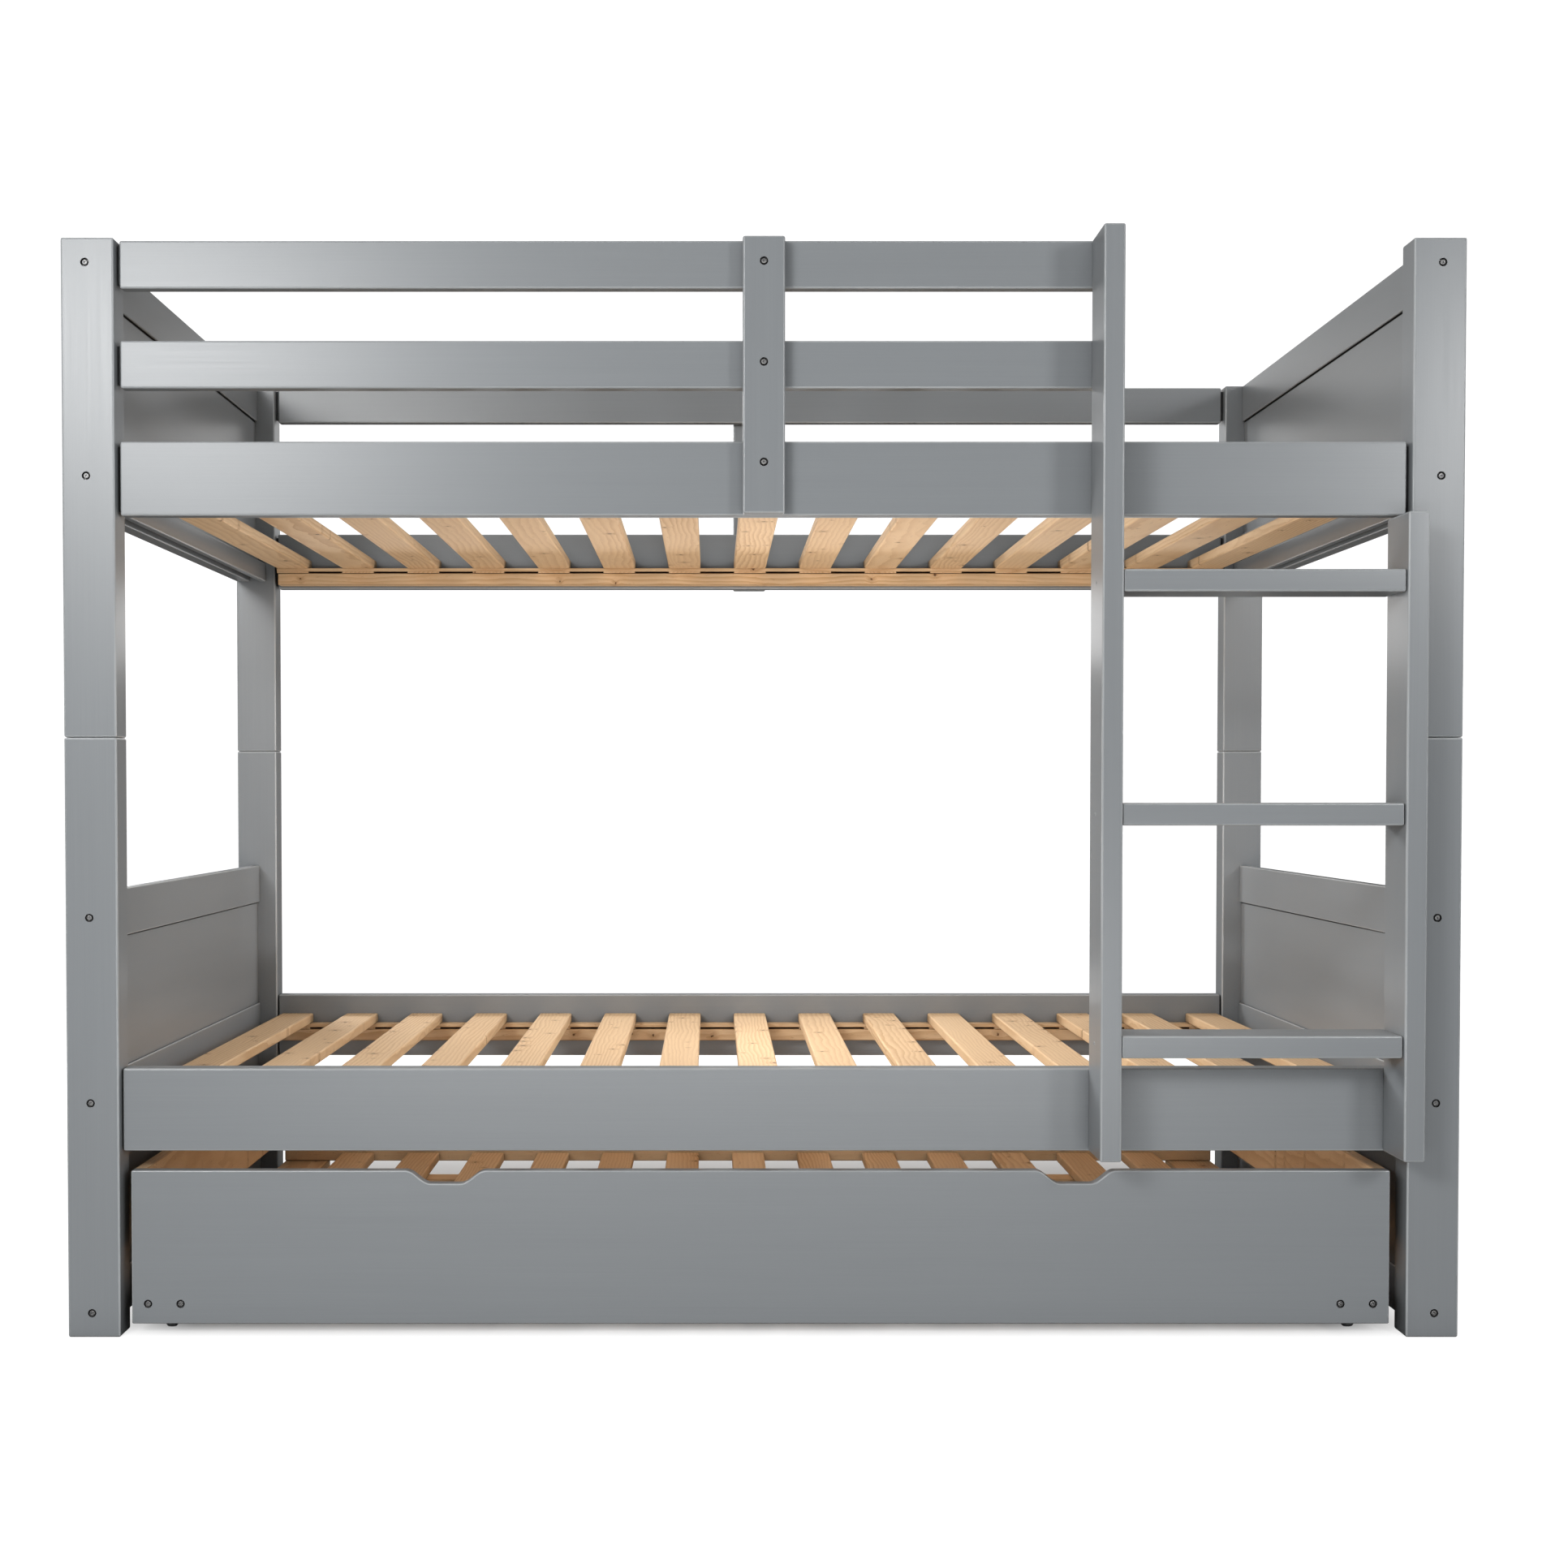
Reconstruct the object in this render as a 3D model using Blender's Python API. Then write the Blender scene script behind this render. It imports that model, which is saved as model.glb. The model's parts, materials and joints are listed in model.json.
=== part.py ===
"""Bunk bed for two single mattresses, with a trundle bed that rolls out below.

X runs along the bed, with the ladder at +X. The front, where the ladder stands and the
trundle rolls out, faces -Y. Z is up. The origin is on the floor, below the middle of the
whole bed's outline. Lengths are in metres.
"""
import math

import bmesh
import bpy

# Overall size, posts, and the clearance that every touching pair of pieces keeps
bed_length = 2.000
frame_depth = 0.980
bed_height = 1.573
post_width = 0.0752
post_thickness = 0.0454
seam_height = 0.863
post_edge = 0.003
fit_gap = 0.0003
cut_overrun = 0.010

# Steel pins that join each upper post to the lower one
pin_diameter = 0.010
pin_length = 0.060
pin_end_room = 0.001
pin_edge = 0.001

# Long boards between the posts: two side rails and two guard boards on each side
board_setback = 0.012
board_edge = 0.003
guard_height = 0.068
guard_thickness = 0.021
guard_top_drop = 0.001
guard_spacing = 0.142
guard_end_gap = 0.0045
upper_rail_drop = 0.3925
upper_rail_height = 0.106
upper_rail_thickness = 0.024
upper_rail_end_gap = 0.0035
lower_rail_bottom = 0.267
lower_rail_height = 0.1195
lower_rail_thickness = 0.028
lower_rail_end_gap = 0.0015
stub_inset = 0.0065

# Upright braces that tie the guard boards to the upper side rails
front_brace_width = 0.060
back_brace_width = 0.063
brace_thickness = 0.0235

# Ends: 18 mm rails with thin panels let into grooves between them
end_face_inset = 0.0425
end_rail_thickness = 0.018
end_edge = 0.002
panel_thickness = 0.009
panel_recess = 0.0045
panel_edge = 0.0005
groove_depth = 0.008
groove_side_room = 0.0005
upper_top_rail_height = 0.068
lower_top_rail_bottom = 0.569
lower_top_rail_height = 0.071
middle_rail_bottom = 0.304
middle_rail_height = 0.068
bottom_rail_bottom = 0.001
bottom_rail_height = 0.068

# Channel-shaped rail at the foot of each upper end
channel_height = 0.093
channel_inset = 0.058
channel_width = 0.057
channel_lip_thickness = 0.0125
channel_lip_height = 0.035
channel_groove_width = 0.0195
channel_groove_depth = 0.020

# Bolt pockets: in the front and back faces for the ends, in the outer faces for the rails
pocket_diameter = 0.0115
pocket_depth = 0.006
pocket_sides = 16
end_bolt_offset = 0.001
channel_bolt_drop = 0.0045
guard_bolt_drop = 0.018
upper_rail_bolt_spread = 0.025
lower_rail_bolt_spread = 0.030
brace_guard_bolt_drop = 0.0015
brace_rail_bolt_rise = 0.0195

# Slats of the two bunks, their carrier strips and the ledges under them
slat_width = 0.062
slat_thickness = 0.018
slat_edge = 0.003
slat_count = 15
slat_row_inset = 0.0828
slat_end_inset = 0.045
upper_slat_drop = 0.0515
lower_slat_drop = 0.0365
carrier_bar_height = 0.006
carrier_foot_height = 0.003
carrier_foot_width = 0.061
carrier_end_inset = 0.089
carrier_back_room = 0.001
ledge_height = 0.0225
ledge_depth = 0.028
ledge_end_inset = 0.085
wood_edge = 0.002
sunk_depth = 0.001

# Ladder at the right end of the front
stile_width = 0.030
stile_depth = 0.080
stile_edge = 0.003
ladder_opening = 0.3945
right_stile_gap = 0.0013
right_stile_top_drop = 0.0055
rung_height = 0.0315
rung_front_setback = 0.005
rung_first_rise = 0.145
rung_last_drop = 0.1165
rung_count = 3

# Trundle: panels, two runner beams with wheels let into their ends, and slats
trundle_shift = -0.0035
trundle_side_room = 0.016
trundle_back_room = 0.030
trundle_top_room = 0.0285
trundle_panel_thickness = 0.018
trundle_panel_edge = 0.0022
trundle_front_bottom = 0.016
trundle_side_height = 0.1205
trundle_back_inset = 0.0045
grip_offset = 0.455
grip_top_width = 0.116
grip_flat_width = 0.043
grip_depth = 0.019
grip_side_steps = 8
beam_width = 0.085
beam_bottom = 0.018
beam_web = 0.010
trundle_bolt_rise = 0.0045
trundle_bolt_spread = 0.0235
trundle_slat_count = 13
trundle_slat_end_room = 0.006
bearer_width = 0.045
bearer_thickness = 0.018
bearer_inset = 0.120

# Wheels of the trundle, on steel axles across the forked beam ends
wheel_diameter = 0.050
wheel_width = 0.013
wheel_edge = 0.002
wheel_sides = 28
wheel_inset = 0.0265
axle_diameter = 0.006
axle_sides = 14
axle_seat = 0.004
wheel_side_room = 0.0015
wheel_slot_room = 0.003
running_gap = 0.0003

# Values that follow from the sizes above
half_length = bed_length / 2
front_y = (stile_depth - frame_depth - brace_thickness) / 2
back_y = front_y + frame_depth
post_inner_x = half_length - post_width
board_front_y = front_y + board_setback
board_back_y = back_y - board_setback
guard_top = bed_height - guard_top_drop
guard_top_bottom = guard_top - guard_height
guard_middle_bottom = guard_top_bottom - guard_spacing
upper_rail_bottom = bed_height - upper_rail_drop
upper_rail_top = upper_rail_bottom + upper_rail_height
upper_rail_middle = upper_rail_bottom + upper_rail_height / 2
lower_rail_middle = lower_rail_bottom + lower_rail_height / 2
upper_slat_top = upper_rail_top - upper_slat_drop
lower_slat_top = lower_rail_bottom + lower_rail_height - lower_slat_drop
slat_pitch = (bed_length - 2 * slat_row_inset - slat_width) / (slat_count - 1)
end_face_x = half_length - end_face_inset
end_front_y = front_y + post_thickness + fit_gap
end_back_y = back_y - post_thickness - fit_gap
upper_top_rail_bottom = guard_top - upper_top_rail_height
channel_bottom = upper_rail_top - channel_height
stile_back_y = board_front_y - fit_gap
stile_front_y = stile_back_y - stile_depth
right_stile_x = post_inner_x - right_stile_gap - stile_width
left_stile_x = right_stile_x - ladder_opening - stile_width
rung_first_bottom = lower_rail_bottom + rung_first_rise
rung_last_bottom = upper_rail_bottom - rung_last_drop
rung_spacing = (rung_last_bottom - rung_first_bottom) / (rung_count - 1)
trundle_length = 2 * (post_inner_x - trundle_side_room)
trundle_back_y = board_back_y - trundle_back_room
trundle_top = lower_rail_bottom - trundle_top_room
beam_centre_offset = trundle_length / 2 - trundle_back_inset - beam_width / 2
beam_top = wheel_diameter + wheel_slot_room + beam_web
wheel_radius = wheel_diameter / 2

SIDES = (("left", -1), ("right", 1))


def clear_scene():
    for item in list(bpy.data.objects):
        bpy.data.objects.remove(item, do_unlink=True)


def surface(name, colour, roughness, metallic=0.0):
    """One plain material for one piece."""
    material = bpy.data.materials.new(name)
    material.use_nodes = True
    shader = material.node_tree.nodes["Principled BSDF"]
    shader.inputs["Base Color"].default_value = (*colour, 1.0)
    shader.inputs["Roughness"].default_value = roughness
    shader.inputs["Metallic"].default_value = metallic
    material.diffuse_color = (*colour, 1.0)
    return material


def grey_paint(piece):
    return surface(piece + "_paint", (0.265, 0.282, 0.296), 0.42)


def pine(piece):
    return surface(piece + "_pine", (0.700, 0.470, 0.262), 0.55)


def steel(piece):
    return surface(piece + "_steel", (0.560, 0.565, 0.570), 0.30, 1.0)


def grey_plastic(piece):
    return surface(piece + "_plastic", (0.120, 0.122, 0.125), 0.50)


def finish_piece(name, mesh_data, place, material):
    """Turns a bmesh into a named object that stands at its place."""
    mesh = bpy.data.meshes.new(name)
    bmesh.ops.recalc_face_normals(mesh_data, faces=mesh_data.faces)
    mesh_data.to_mesh(mesh)
    mesh_data.free()
    if material:
        mesh.materials.append(material)
    piece = bpy.data.objects.new(name, mesh)
    piece.location = place
    bpy.context.scene.collection.objects.link(piece)
    return piece


def box_mesh(low, high, edge):
    """A box with eased edges between two corners, centred on the bmesh origin."""
    mesh_data = bmesh.new()
    add_box(mesh_data, low, high, middle(low, high), edge)
    return mesh_data


def middle(low, high):
    return tuple((a + b) / 2 for a, b in zip(low, high))


def add_box(mesh_data, low, high, origin, edge=0.0):
    made = bmesh.ops.create_cube(mesh_data, size=1.0)["verts"]
    centre = middle(low, high)
    for vert in made:
        for axis in range(3):
            vert.co[axis] *= high[axis] - low[axis]
            vert.co[axis] += centre[axis] - origin[axis]
    if edge:
        edges = {item for vert in made for item in vert.link_edges}
        bmesh.ops.bevel(mesh_data, geom=list(edges), offset=edge, segments=1, profile=0.5,
                        affect="EDGES", clamp_overlap=True)


def board(name, low, high, material, edge=board_edge, stubs=(0.0, 0.0)):
    """A board with eased edges. stubs are the lengths of its two end tenons along X."""
    mesh_data = box_mesh(low, high, edge)
    for sign, length in zip((-1, 1), stubs):
        if length:
            add_stub(mesh_data, sign, length)
    return finish_piece(name, mesh_data, middle(low, high), material(name))


def add_stub(mesh_data, sign, length):
    """Draws a narrower tenon out of the board's end face at -X or +X."""
    mesh_data.normal_update()
    ends = [face for face in mesh_data.faces if face.normal.x * sign > 0.99]
    end = max(ends, key=lambda face: face.calc_area())
    bmesh.ops.inset_individual(mesh_data, faces=[end], thickness=stub_inset, depth=0.0)
    grown = bmesh.ops.extrude_face_region(mesh_data, geom=[end])["geom"]
    tips = [item for item in grown if isinstance(item, bmesh.types.BMVert)]
    bmesh.ops.delete(mesh_data, geom=[end], context="FACES_ONLY")
    bmesh.ops.translate(mesh_data, verts=tips, vec=(sign * length, 0.0, 0.0))


def bar_along_y(name, outline, start_y, end_y, material, edge):
    """A bar of constant section along Y. outline holds (x, z) corners in world places."""
    centre_x = sum(x for x, z in outline) / len(outline)
    centre_z = sum(z for x, z in outline) / len(outline)
    centre_y = (start_y + end_y) / 2
    mesh_data = bmesh.new()
    corners = [mesh_data.verts.new((x - centre_x, start_y - centre_y, z - centre_z))
               for x, z in outline]
    face = mesh_data.faces.new(corners)
    grown = bmesh.ops.extrude_face_region(mesh_data, geom=[face])["geom"]
    tips = [item for item in grown if isinstance(item, bmesh.types.BMVert)]
    bmesh.ops.translate(mesh_data, verts=tips, vec=(0.0, end_y - start_y, 0.0))
    bmesh.ops.recalc_face_normals(mesh_data, faces=mesh_data.faces)
    bmesh.ops.bevel(mesh_data, geom=list(mesh_data.edges), offset=edge, segments=1,
                    profile=0.5, affect="EDGES", clamp_overlap=True)
    return finish_piece(name, mesh_data, (centre_x, centre_y, centre_z), material(name))


def helper_shape(name, mesh_data, place):
    """A hidden shape that only cuts or joins."""
    helper = finish_piece(name, mesh_data, place, None)
    helper.hide_render = True
    helper.display_type = "WIRE"
    return helper


def combine(target, helper, operation):
    step = target.modifiers.new(helper.name, "BOOLEAN")
    step.operation = operation
    step.solver = "EXACT"
    step.object = helper


def add_cylinder(mesh_data, centre, origin, axis, diameter, length, sides):
    """A closed cylinder along axis 0, 1 or 2, placed relative to origin."""
    made = bmesh.ops.create_cone(mesh_data, cap_ends=True, segments=sides, radius1=diameter / 2,
                                 radius2=diameter / 2, depth=length)["verts"]
    for vert in made:
        x, y, z = vert.co
        turned = ((z, x, y), (y, z, x), (x, y, z))[axis]
        for index in range(3):
            vert.co[index] = turned[index] + centre[index] - origin[index]


def drill(target, centres, axis, diameter, length):
    """Cuts round holes whose middles are at centres, along one axis."""
    mesh_data = bmesh.new()
    for centre in centres:
        add_cylinder(mesh_data, centre, target.location, axis, diameter, length, pocket_sides)
    helper = helper_shape(target.name + "_holes_" + "xyz"[axis], mesh_data, target.location)
    combine(target, helper, "DIFFERENCE")


def cut_boxes(target, boxes, label):
    mesh_data = bmesh.new()
    for low, high in boxes:
        add_box(mesh_data, low, high, target.location)
    combine(target, helper_shape(target.name + label, mesh_data, target.location), "DIFFERENCE")


def post_column(side):
    """X range of the posts at one end of the bed."""
    return (-half_length, -post_inner_x) if side < 0 else (post_inner_x, half_length)


def make_posts():
    """Four corners, each an upper and a lower post with a steel pin between them."""
    rows = (("front", front_y, front_y + post_thickness, -1),
            ("back", back_y - post_thickness, back_y, 1))
    for row, low_y, high_y, facing in rows:
        for side_name, side in SIDES:
            low_x, high_x = post_column(side)
            centre = ((low_x + high_x) / 2, (low_y + high_y) / 2)
            label = row + "_" + side_name
            lower = board("lower_post_" + label, (low_x, low_y, 0.0),
                          (high_x, high_y, seam_height), grey_paint, post_edge)
            upper = board("upper_post_" + label, (low_x, low_y, seam_height + fit_gap),
                          (high_x, high_y, bed_height), grey_paint, post_edge)
            make_post_pin(label, centre, lower, upper)
            face_y = low_y if facing < 0 else high_y
            cut_end_bolt_pockets(lower, side, face_y, lower_end_bolt_heights())
            cut_end_bolt_pockets(upper, side, face_y, upper_end_bolt_heights())
            cut_rail_bolt_pockets(lower, upper, side, facing)


def make_post_pin(label, centre, lower, upper):
    hole_diameter = pin_diameter + 2 * fit_gap
    hole_length = pin_length + 2 * pin_end_room
    place = (*centre, seam_height + fit_gap / 2)
    drill(lower, [place], 2, hole_diameter, hole_length)
    drill(upper, [place], 2, hole_diameter, hole_length)
    mesh_data = bmesh.new()
    add_cylinder(mesh_data, place, place, 2, pin_diameter, pin_length, pocket_sides)
    rims = [edge for edge in mesh_data.edges if edge.verts[0].co.z * edge.verts[1].co.z > 0.0]
    bmesh.ops.bevel(mesh_data, geom=rims, offset=pin_edge, segments=1, affect="EDGES")
    finish_piece("post_pin_" + label, mesh_data, place, steel("post_pin_" + label))


def upper_end_bolt_heights():
    return (upper_top_rail_bottom + upper_top_rail_height / 2,
            channel_bottom + channel_height / 2 - channel_bolt_drop)


def lower_end_bolt_heights():
    return (lower_top_rail_bottom + lower_top_rail_height / 2,
            middle_rail_bottom + middle_rail_height / 2,
            bottom_rail_bottom + bottom_rail_height / 2)


def cut_end_bolt_pockets(post, side, face_y, heights):
    """Pockets in the front or back face for the bolts that hold the end rails."""
    x = side * (end_face_x + end_rail_thickness / 2 - end_bolt_offset)
    drill(post, [(x, face_y, z) for z in heights], 1, pocket_diameter, 2 * pocket_depth)


def cut_rail_bolt_pockets(lower, upper, side, facing):
    """Pockets in the outer face for the bolts that hold the long boards."""
    def line_y(thickness):
        inward = board_setback + thickness / 2
        return front_y + inward if facing < 0 else back_y - inward

    x = side * half_length
    lower_places = [(x, line_y(lower_rail_thickness), lower_rail_middle + step)
                    for step in (-lower_rail_bolt_spread, lower_rail_bolt_spread)]
    upper_places = [(x, line_y(upper_rail_thickness), upper_rail_middle + step)
                    for step in (-upper_rail_bolt_spread, upper_rail_bolt_spread)]
    if facing > 0 or side < 0:
        upper_places += [(x, line_y(guard_thickness), bottom + guard_height / 2 - guard_bolt_drop)
                         for bottom in (guard_top_bottom, guard_middle_bottom)]
    drill(lower, lower_places, 0, pocket_diameter, 2 * pocket_depth)
    drill(upper, upper_places, 0, pocket_diameter, 2 * pocket_depth)


def long_board(name, row, bottom, height, thickness, end_gap, right_end=None):
    """A board between two posts. Its stub tenons bridge the shadow gaps at its ends."""
    low_y = board_front_y if row == "front" else board_back_y - thickness
    reach = post_inner_x - end_gap
    stub = end_gap - fit_gap
    right = reach if right_end is None else right_end
    right_stub = stub if right_end is None else 0.0
    return board(name, (-reach, low_y, bottom), (right, low_y + thickness, bottom + height),
                 grey_paint, board_edge, (stub, right_stub))


def make_long_boards():
    """Side rails and guard boards. The front guards end at the ladder's tall stile."""
    guard_end = left_stile_x + stile_width
    for row in ("front", "back"):
        right_end = guard_end if row == "front" else None
        long_board("guard_top_" + row, row, guard_top_bottom, guard_height, guard_thickness,
                   guard_end_gap, right_end)
        long_board("guard_middle_" + row, row, guard_middle_bottom, guard_height,
                   guard_thickness, guard_end_gap, right_end)
        long_board("upper_side_rail_" + row, row, upper_rail_bottom, upper_rail_height,
                   upper_rail_thickness, upper_rail_end_gap)
        long_board("lower_side_rail_" + row, row, lower_rail_bottom, lower_rail_height,
                   lower_rail_thickness, lower_rail_end_gap)


def make_braces():
    guard_step = guard_height / 2 - brace_guard_bolt_drop
    heights = (guard_top_bottom + guard_step, guard_middle_bottom + guard_step,
               upper_rail_middle + brace_rail_bolt_rise)
    front_high_y = board_front_y - fit_gap
    back_low_y = board_back_y + fit_gap
    ranges = (("front_brace", front_brace_width, front_high_y - brace_thickness, front_high_y),
              ("back_brace", back_brace_width, back_low_y, back_low_y + brace_thickness))
    for name, width, low_y, high_y in ranges:
        brace = board(name, (-width / 2, low_y, upper_rail_bottom),
                      (width / 2, high_y, guard_top), grey_paint)
        face_y = low_y if name == "front_brace" else high_y
        drill(brace, [(0.0, face_y, z) for z in heights], 1, pocket_diameter, 2 * pocket_depth)


def end_range(side, inner, thickness):
    """X range of a piece whose inner face is `inner` from the middle, at one end."""
    return (inner, inner + thickness) if side > 0 else (-inner - thickness, -inner)


def groove_box(side, low_z, high_z):
    low_x, high_x = end_range(side, end_face_x + panel_recess, panel_thickness)
    return ((low_x - groove_side_room, end_front_y - cut_overrun, low_z),
            (high_x + groove_side_room, end_back_y + cut_overrun, high_z))


def end_rail(name, side, bottom, height, groove_above, groove_below):
    low_x, high_x = end_range(side, end_face_x, end_rail_thickness)
    top = bottom + height
    rail = board(name, (low_x, end_front_y, bottom), (high_x, end_back_y, top), grey_paint, end_edge)
    grooves = []
    if groove_above:
        grooves.append(groove_box(side, top - groove_depth, top + cut_overrun))
    if groove_below:
        grooves.append(groove_box(side, bottom - cut_overrun, bottom + groove_depth))
    cut_boxes(rail, grooves, "_grooves")


def end_panel(name, side, rail_below_top, rail_above_bottom):
    """A thin panel whose edges stand in the grooves of the rails above and below."""
    low_x, high_x = end_range(side, end_face_x + panel_recess, panel_thickness)
    low = (low_x, end_front_y, rail_below_top - groove_depth + fit_gap)
    high = (high_x, end_back_y, rail_above_bottom + groove_depth - fit_gap)
    board(name, low, high, grey_paint, panel_edge)


def channel_rail(name, side):
    """The rail at the foot of an upper end: a lip inside, a groove below, a wide back."""
    lip = channel_lip_thickness
    groove_end = lip + channel_groove_width
    step = channel_inset - end_face_inset
    section = ((0.0, 0.0), (lip, 0.0), (lip, channel_groove_depth),
               (groove_end, channel_groove_depth), (groove_end, 0.0), (channel_width, 0.0),
               (channel_width, channel_height), (step, channel_height),
               (step, channel_lip_height), (0.0, channel_lip_height))
    outline = [(side * (half_length - channel_inset + x), channel_bottom + z) for x, z in section]
    rail = bar_along_y(name, outline, end_front_y, end_back_y, grey_paint, end_edge)
    top = channel_bottom + channel_height
    cut_boxes(rail, [groove_box(side, top - groove_depth, top + cut_overrun)], "_groove")


def make_ends():
    for side_name, side in SIDES:
        end_rail("upper_end_top_rail_" + side_name, side, upper_top_rail_bottom,
                 upper_top_rail_height, False, True)
        channel_rail("upper_end_bottom_rail_" + side_name, side)
        end_panel("upper_end_panel_" + side_name, side, channel_bottom + channel_height,
                  upper_top_rail_bottom)
        end_rail("lower_end_top_rail_" + side_name, side, lower_top_rail_bottom,
                 lower_top_rail_height, False, True)
        end_rail("lower_end_middle_rail_" + side_name, side, middle_rail_bottom,
                 middle_rail_height, True, True)
        end_rail("lower_end_bottom_rail_" + side_name, side, bottom_rail_bottom,
                 bottom_rail_height, True, False)
        end_panel("lower_end_upper_panel_" + side_name, side,
                  middle_rail_bottom + middle_rail_height, lower_top_rail_bottom)
        end_panel("lower_end_lower_panel_" + side_name, side,
                  bottom_rail_bottom + bottom_rail_height, middle_rail_bottom)


def slat_places(count, centre_x=0.0):
    first = centre_x - slat_pitch * (count - 1) / 2
    return [first + slat_pitch * index for index in range(count)]


def carrier_rows(rail_thickness):
    """Y ranges of the front and the back carrier strip, against the side rails."""
    inner = board_setback + rail_thickness + carrier_back_room
    outer = inner - carrier_back_room + fit_gap + ledge_depth
    return ((front_y + inner, front_y + outer), (back_y - outer, back_y - inner))


def make_slat_base(name, slat_top, rail_thickness):
    """Slats joined to two notched carrier strips that lie on the ledges."""
    slat_bottom = slat_top - slat_thickness
    bar_bottom = slat_bottom - carrier_bar_height
    foot_bottom = bar_bottom - carrier_foot_height
    reach = half_length - carrier_end_inset
    origin = (0.0, (front_y + back_y) / 2, slat_bottom)
    rows = carrier_rows(rail_thickness)
    bars = bmesh.new()
    for low_y, high_y in rows:
        add_box(bars, (-reach, low_y, bar_bottom), (reach, high_y, slat_bottom + sunk_depth), origin)
    base = finish_piece(name, bars, origin, pine(name))
    slats = bmesh.new()
    feet = bmesh.new()
    for x in slat_places(slat_count):
        add_box(slats, (x - slat_width / 2, front_y + slat_end_inset, slat_bottom),
                (x + slat_width / 2, back_y - slat_end_inset, slat_top), origin, slat_edge)
        for low_y, high_y in rows:
            add_box(feet, (x - carrier_foot_width / 2, low_y + sunk_depth, foot_bottom),
                    (x + carrier_foot_width / 2, high_y - sunk_depth, bar_bottom + sunk_depth),
                    origin)
    combine(base, helper_shape(name + "_slats", slats, origin), "UNION")
    combine(base, helper_shape(name + "_feet", feet, origin), "UNION")


def make_ledges(level, slat_top, rail_thickness):
    """Battens on the inner faces of the side rails, which carry the slat base."""
    top = slat_top - slat_thickness - carrier_bar_height - carrier_foot_height - fit_gap
    reach = half_length - ledge_end_inset
    near = board_setback + rail_thickness + fit_gap
    rows = (("front", front_y + near, front_y + near + ledge_depth),
            ("back", back_y - near - ledge_depth, back_y - near))
    for row, low_y, high_y in rows:
        board(level + "_slat_ledge_" + row, (-reach, low_y, top - ledge_height),
              (reach, high_y, top), pine, wood_edge)


def make_ladder():
    """Two stiles bolted to the front boards, and three deep treads between them."""
    stiles = (("left", left_stile_x, guard_top),
              ("right", right_stile_x, upper_rail_bottom - right_stile_top_drop))
    for side_name, low_x, top in stiles:
        board("ladder_stile_" + side_name, (low_x, stile_front_y, lower_rail_bottom),
              (low_x + stile_width, stile_back_y, top), grey_paint, stile_edge)
    for index in range(rung_count):
        bottom = rung_first_bottom + index * rung_spacing
        board("ladder_rung_%d" % (index + 1),
              (left_stile_x + stile_width + fit_gap, stile_front_y + rung_front_setback, bottom),
              (right_stile_x - fit_gap, stile_back_y, bottom + rung_height), grey_paint, stile_edge)


def grip_outline(centre_x):
    """The hand cut-out in the trundle's top edge: two S-shaped sides and a flat floor."""
    run = (grip_top_width - grip_flat_width) / 2
    steps = [index / grip_side_steps for index in range(grip_side_steps + 1)]
    side = [(run * step, grip_depth * (1 - math.cos(math.pi * step)) / 2) for step in steps]
    left = [(centre_x - grip_top_width / 2 + x, trundle_top - drop) for x, drop in side]
    right = [(2 * centre_x - x, z) for x, z in reversed(left)]
    return left + right


def make_trundle_front():
    half = trundle_length / 2
    centre_z = (trundle_front_bottom + trundle_top) / 2
    origin = (trundle_shift, board_front_y + trundle_panel_thickness / 2, centre_z)
    outline = [(-half, trundle_front_bottom), (-half, trundle_top)]
    outline += grip_outline(-grip_offset)
    outline += grip_outline(grip_offset)
    outline += [(half, trundle_top), (half, trundle_front_bottom)]
    mesh_data = bmesh.new()
    corners = [mesh_data.verts.new((x, -trundle_panel_thickness / 2, z - centre_z))
               for x, z in outline]
    face = mesh_data.faces.new(corners)
    grown = bmesh.ops.extrude_face_region(mesh_data, geom=[face])["geom"]
    tips = [item for item in grown if isinstance(item, bmesh.types.BMVert)]
    bmesh.ops.translate(mesh_data, verts=tips, vec=(0.0, trundle_panel_thickness, 0.0))
    bmesh.ops.recalc_face_normals(mesh_data, faces=mesh_data.faces)
    rims = [edge for edge in mesh_data.edges
            if edge.calc_face_angle() > math.radians(60)]
    bmesh.ops.bevel(mesh_data, geom=rims, offset=trundle_panel_edge, segments=1, profile=0.5,
                    affect="EDGES", clamp_overlap=True)
    panel = finish_piece("trundle_front_panel", mesh_data, origin, grey_paint("trundle_front_panel"))
    bolt_z = (beam_bottom + beam_top) / 2 + trundle_bolt_rise
    places = [(trundle_shift + side * beam_centre_offset + step, board_front_y, bolt_z)
              for name, side in SIDES for step in (-trundle_bolt_spread, trundle_bolt_spread)]
    drill(panel, places, 1, pocket_diameter, 2 * pocket_depth)


def make_trundle_box():
    """Back panel on the runner beams, and side boards between the two panels."""
    half = trundle_length / 2
    inner_y = board_front_y + trundle_panel_thickness + fit_gap
    back_low_y = trundle_back_y - trundle_panel_thickness
    back_half = half - trundle_back_inset
    board("trundle_back_panel", (trundle_shift - back_half, back_low_y, beam_top + fit_gap),
          (trundle_shift + back_half, trundle_back_y, trundle_top), pine, trundle_panel_edge)
    for side_name, side in SIDES:
        edges = (trundle_shift + side * half, trundle_shift + side * (half - trundle_panel_thickness))
        board("trundle_side_board_" + side_name,
              (min(edges), inner_y, trundle_top - trundle_side_height),
              (max(edges), back_low_y - fit_gap, trundle_top), pine, trundle_panel_edge)


def wheel_rows():
    """Y places of the front and the back wheels."""
    front = board_front_y + trundle_panel_thickness + wheel_inset
    back = trundle_back_y - trundle_panel_thickness - wheel_inset
    return (("front", front), ("back", back))


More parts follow.
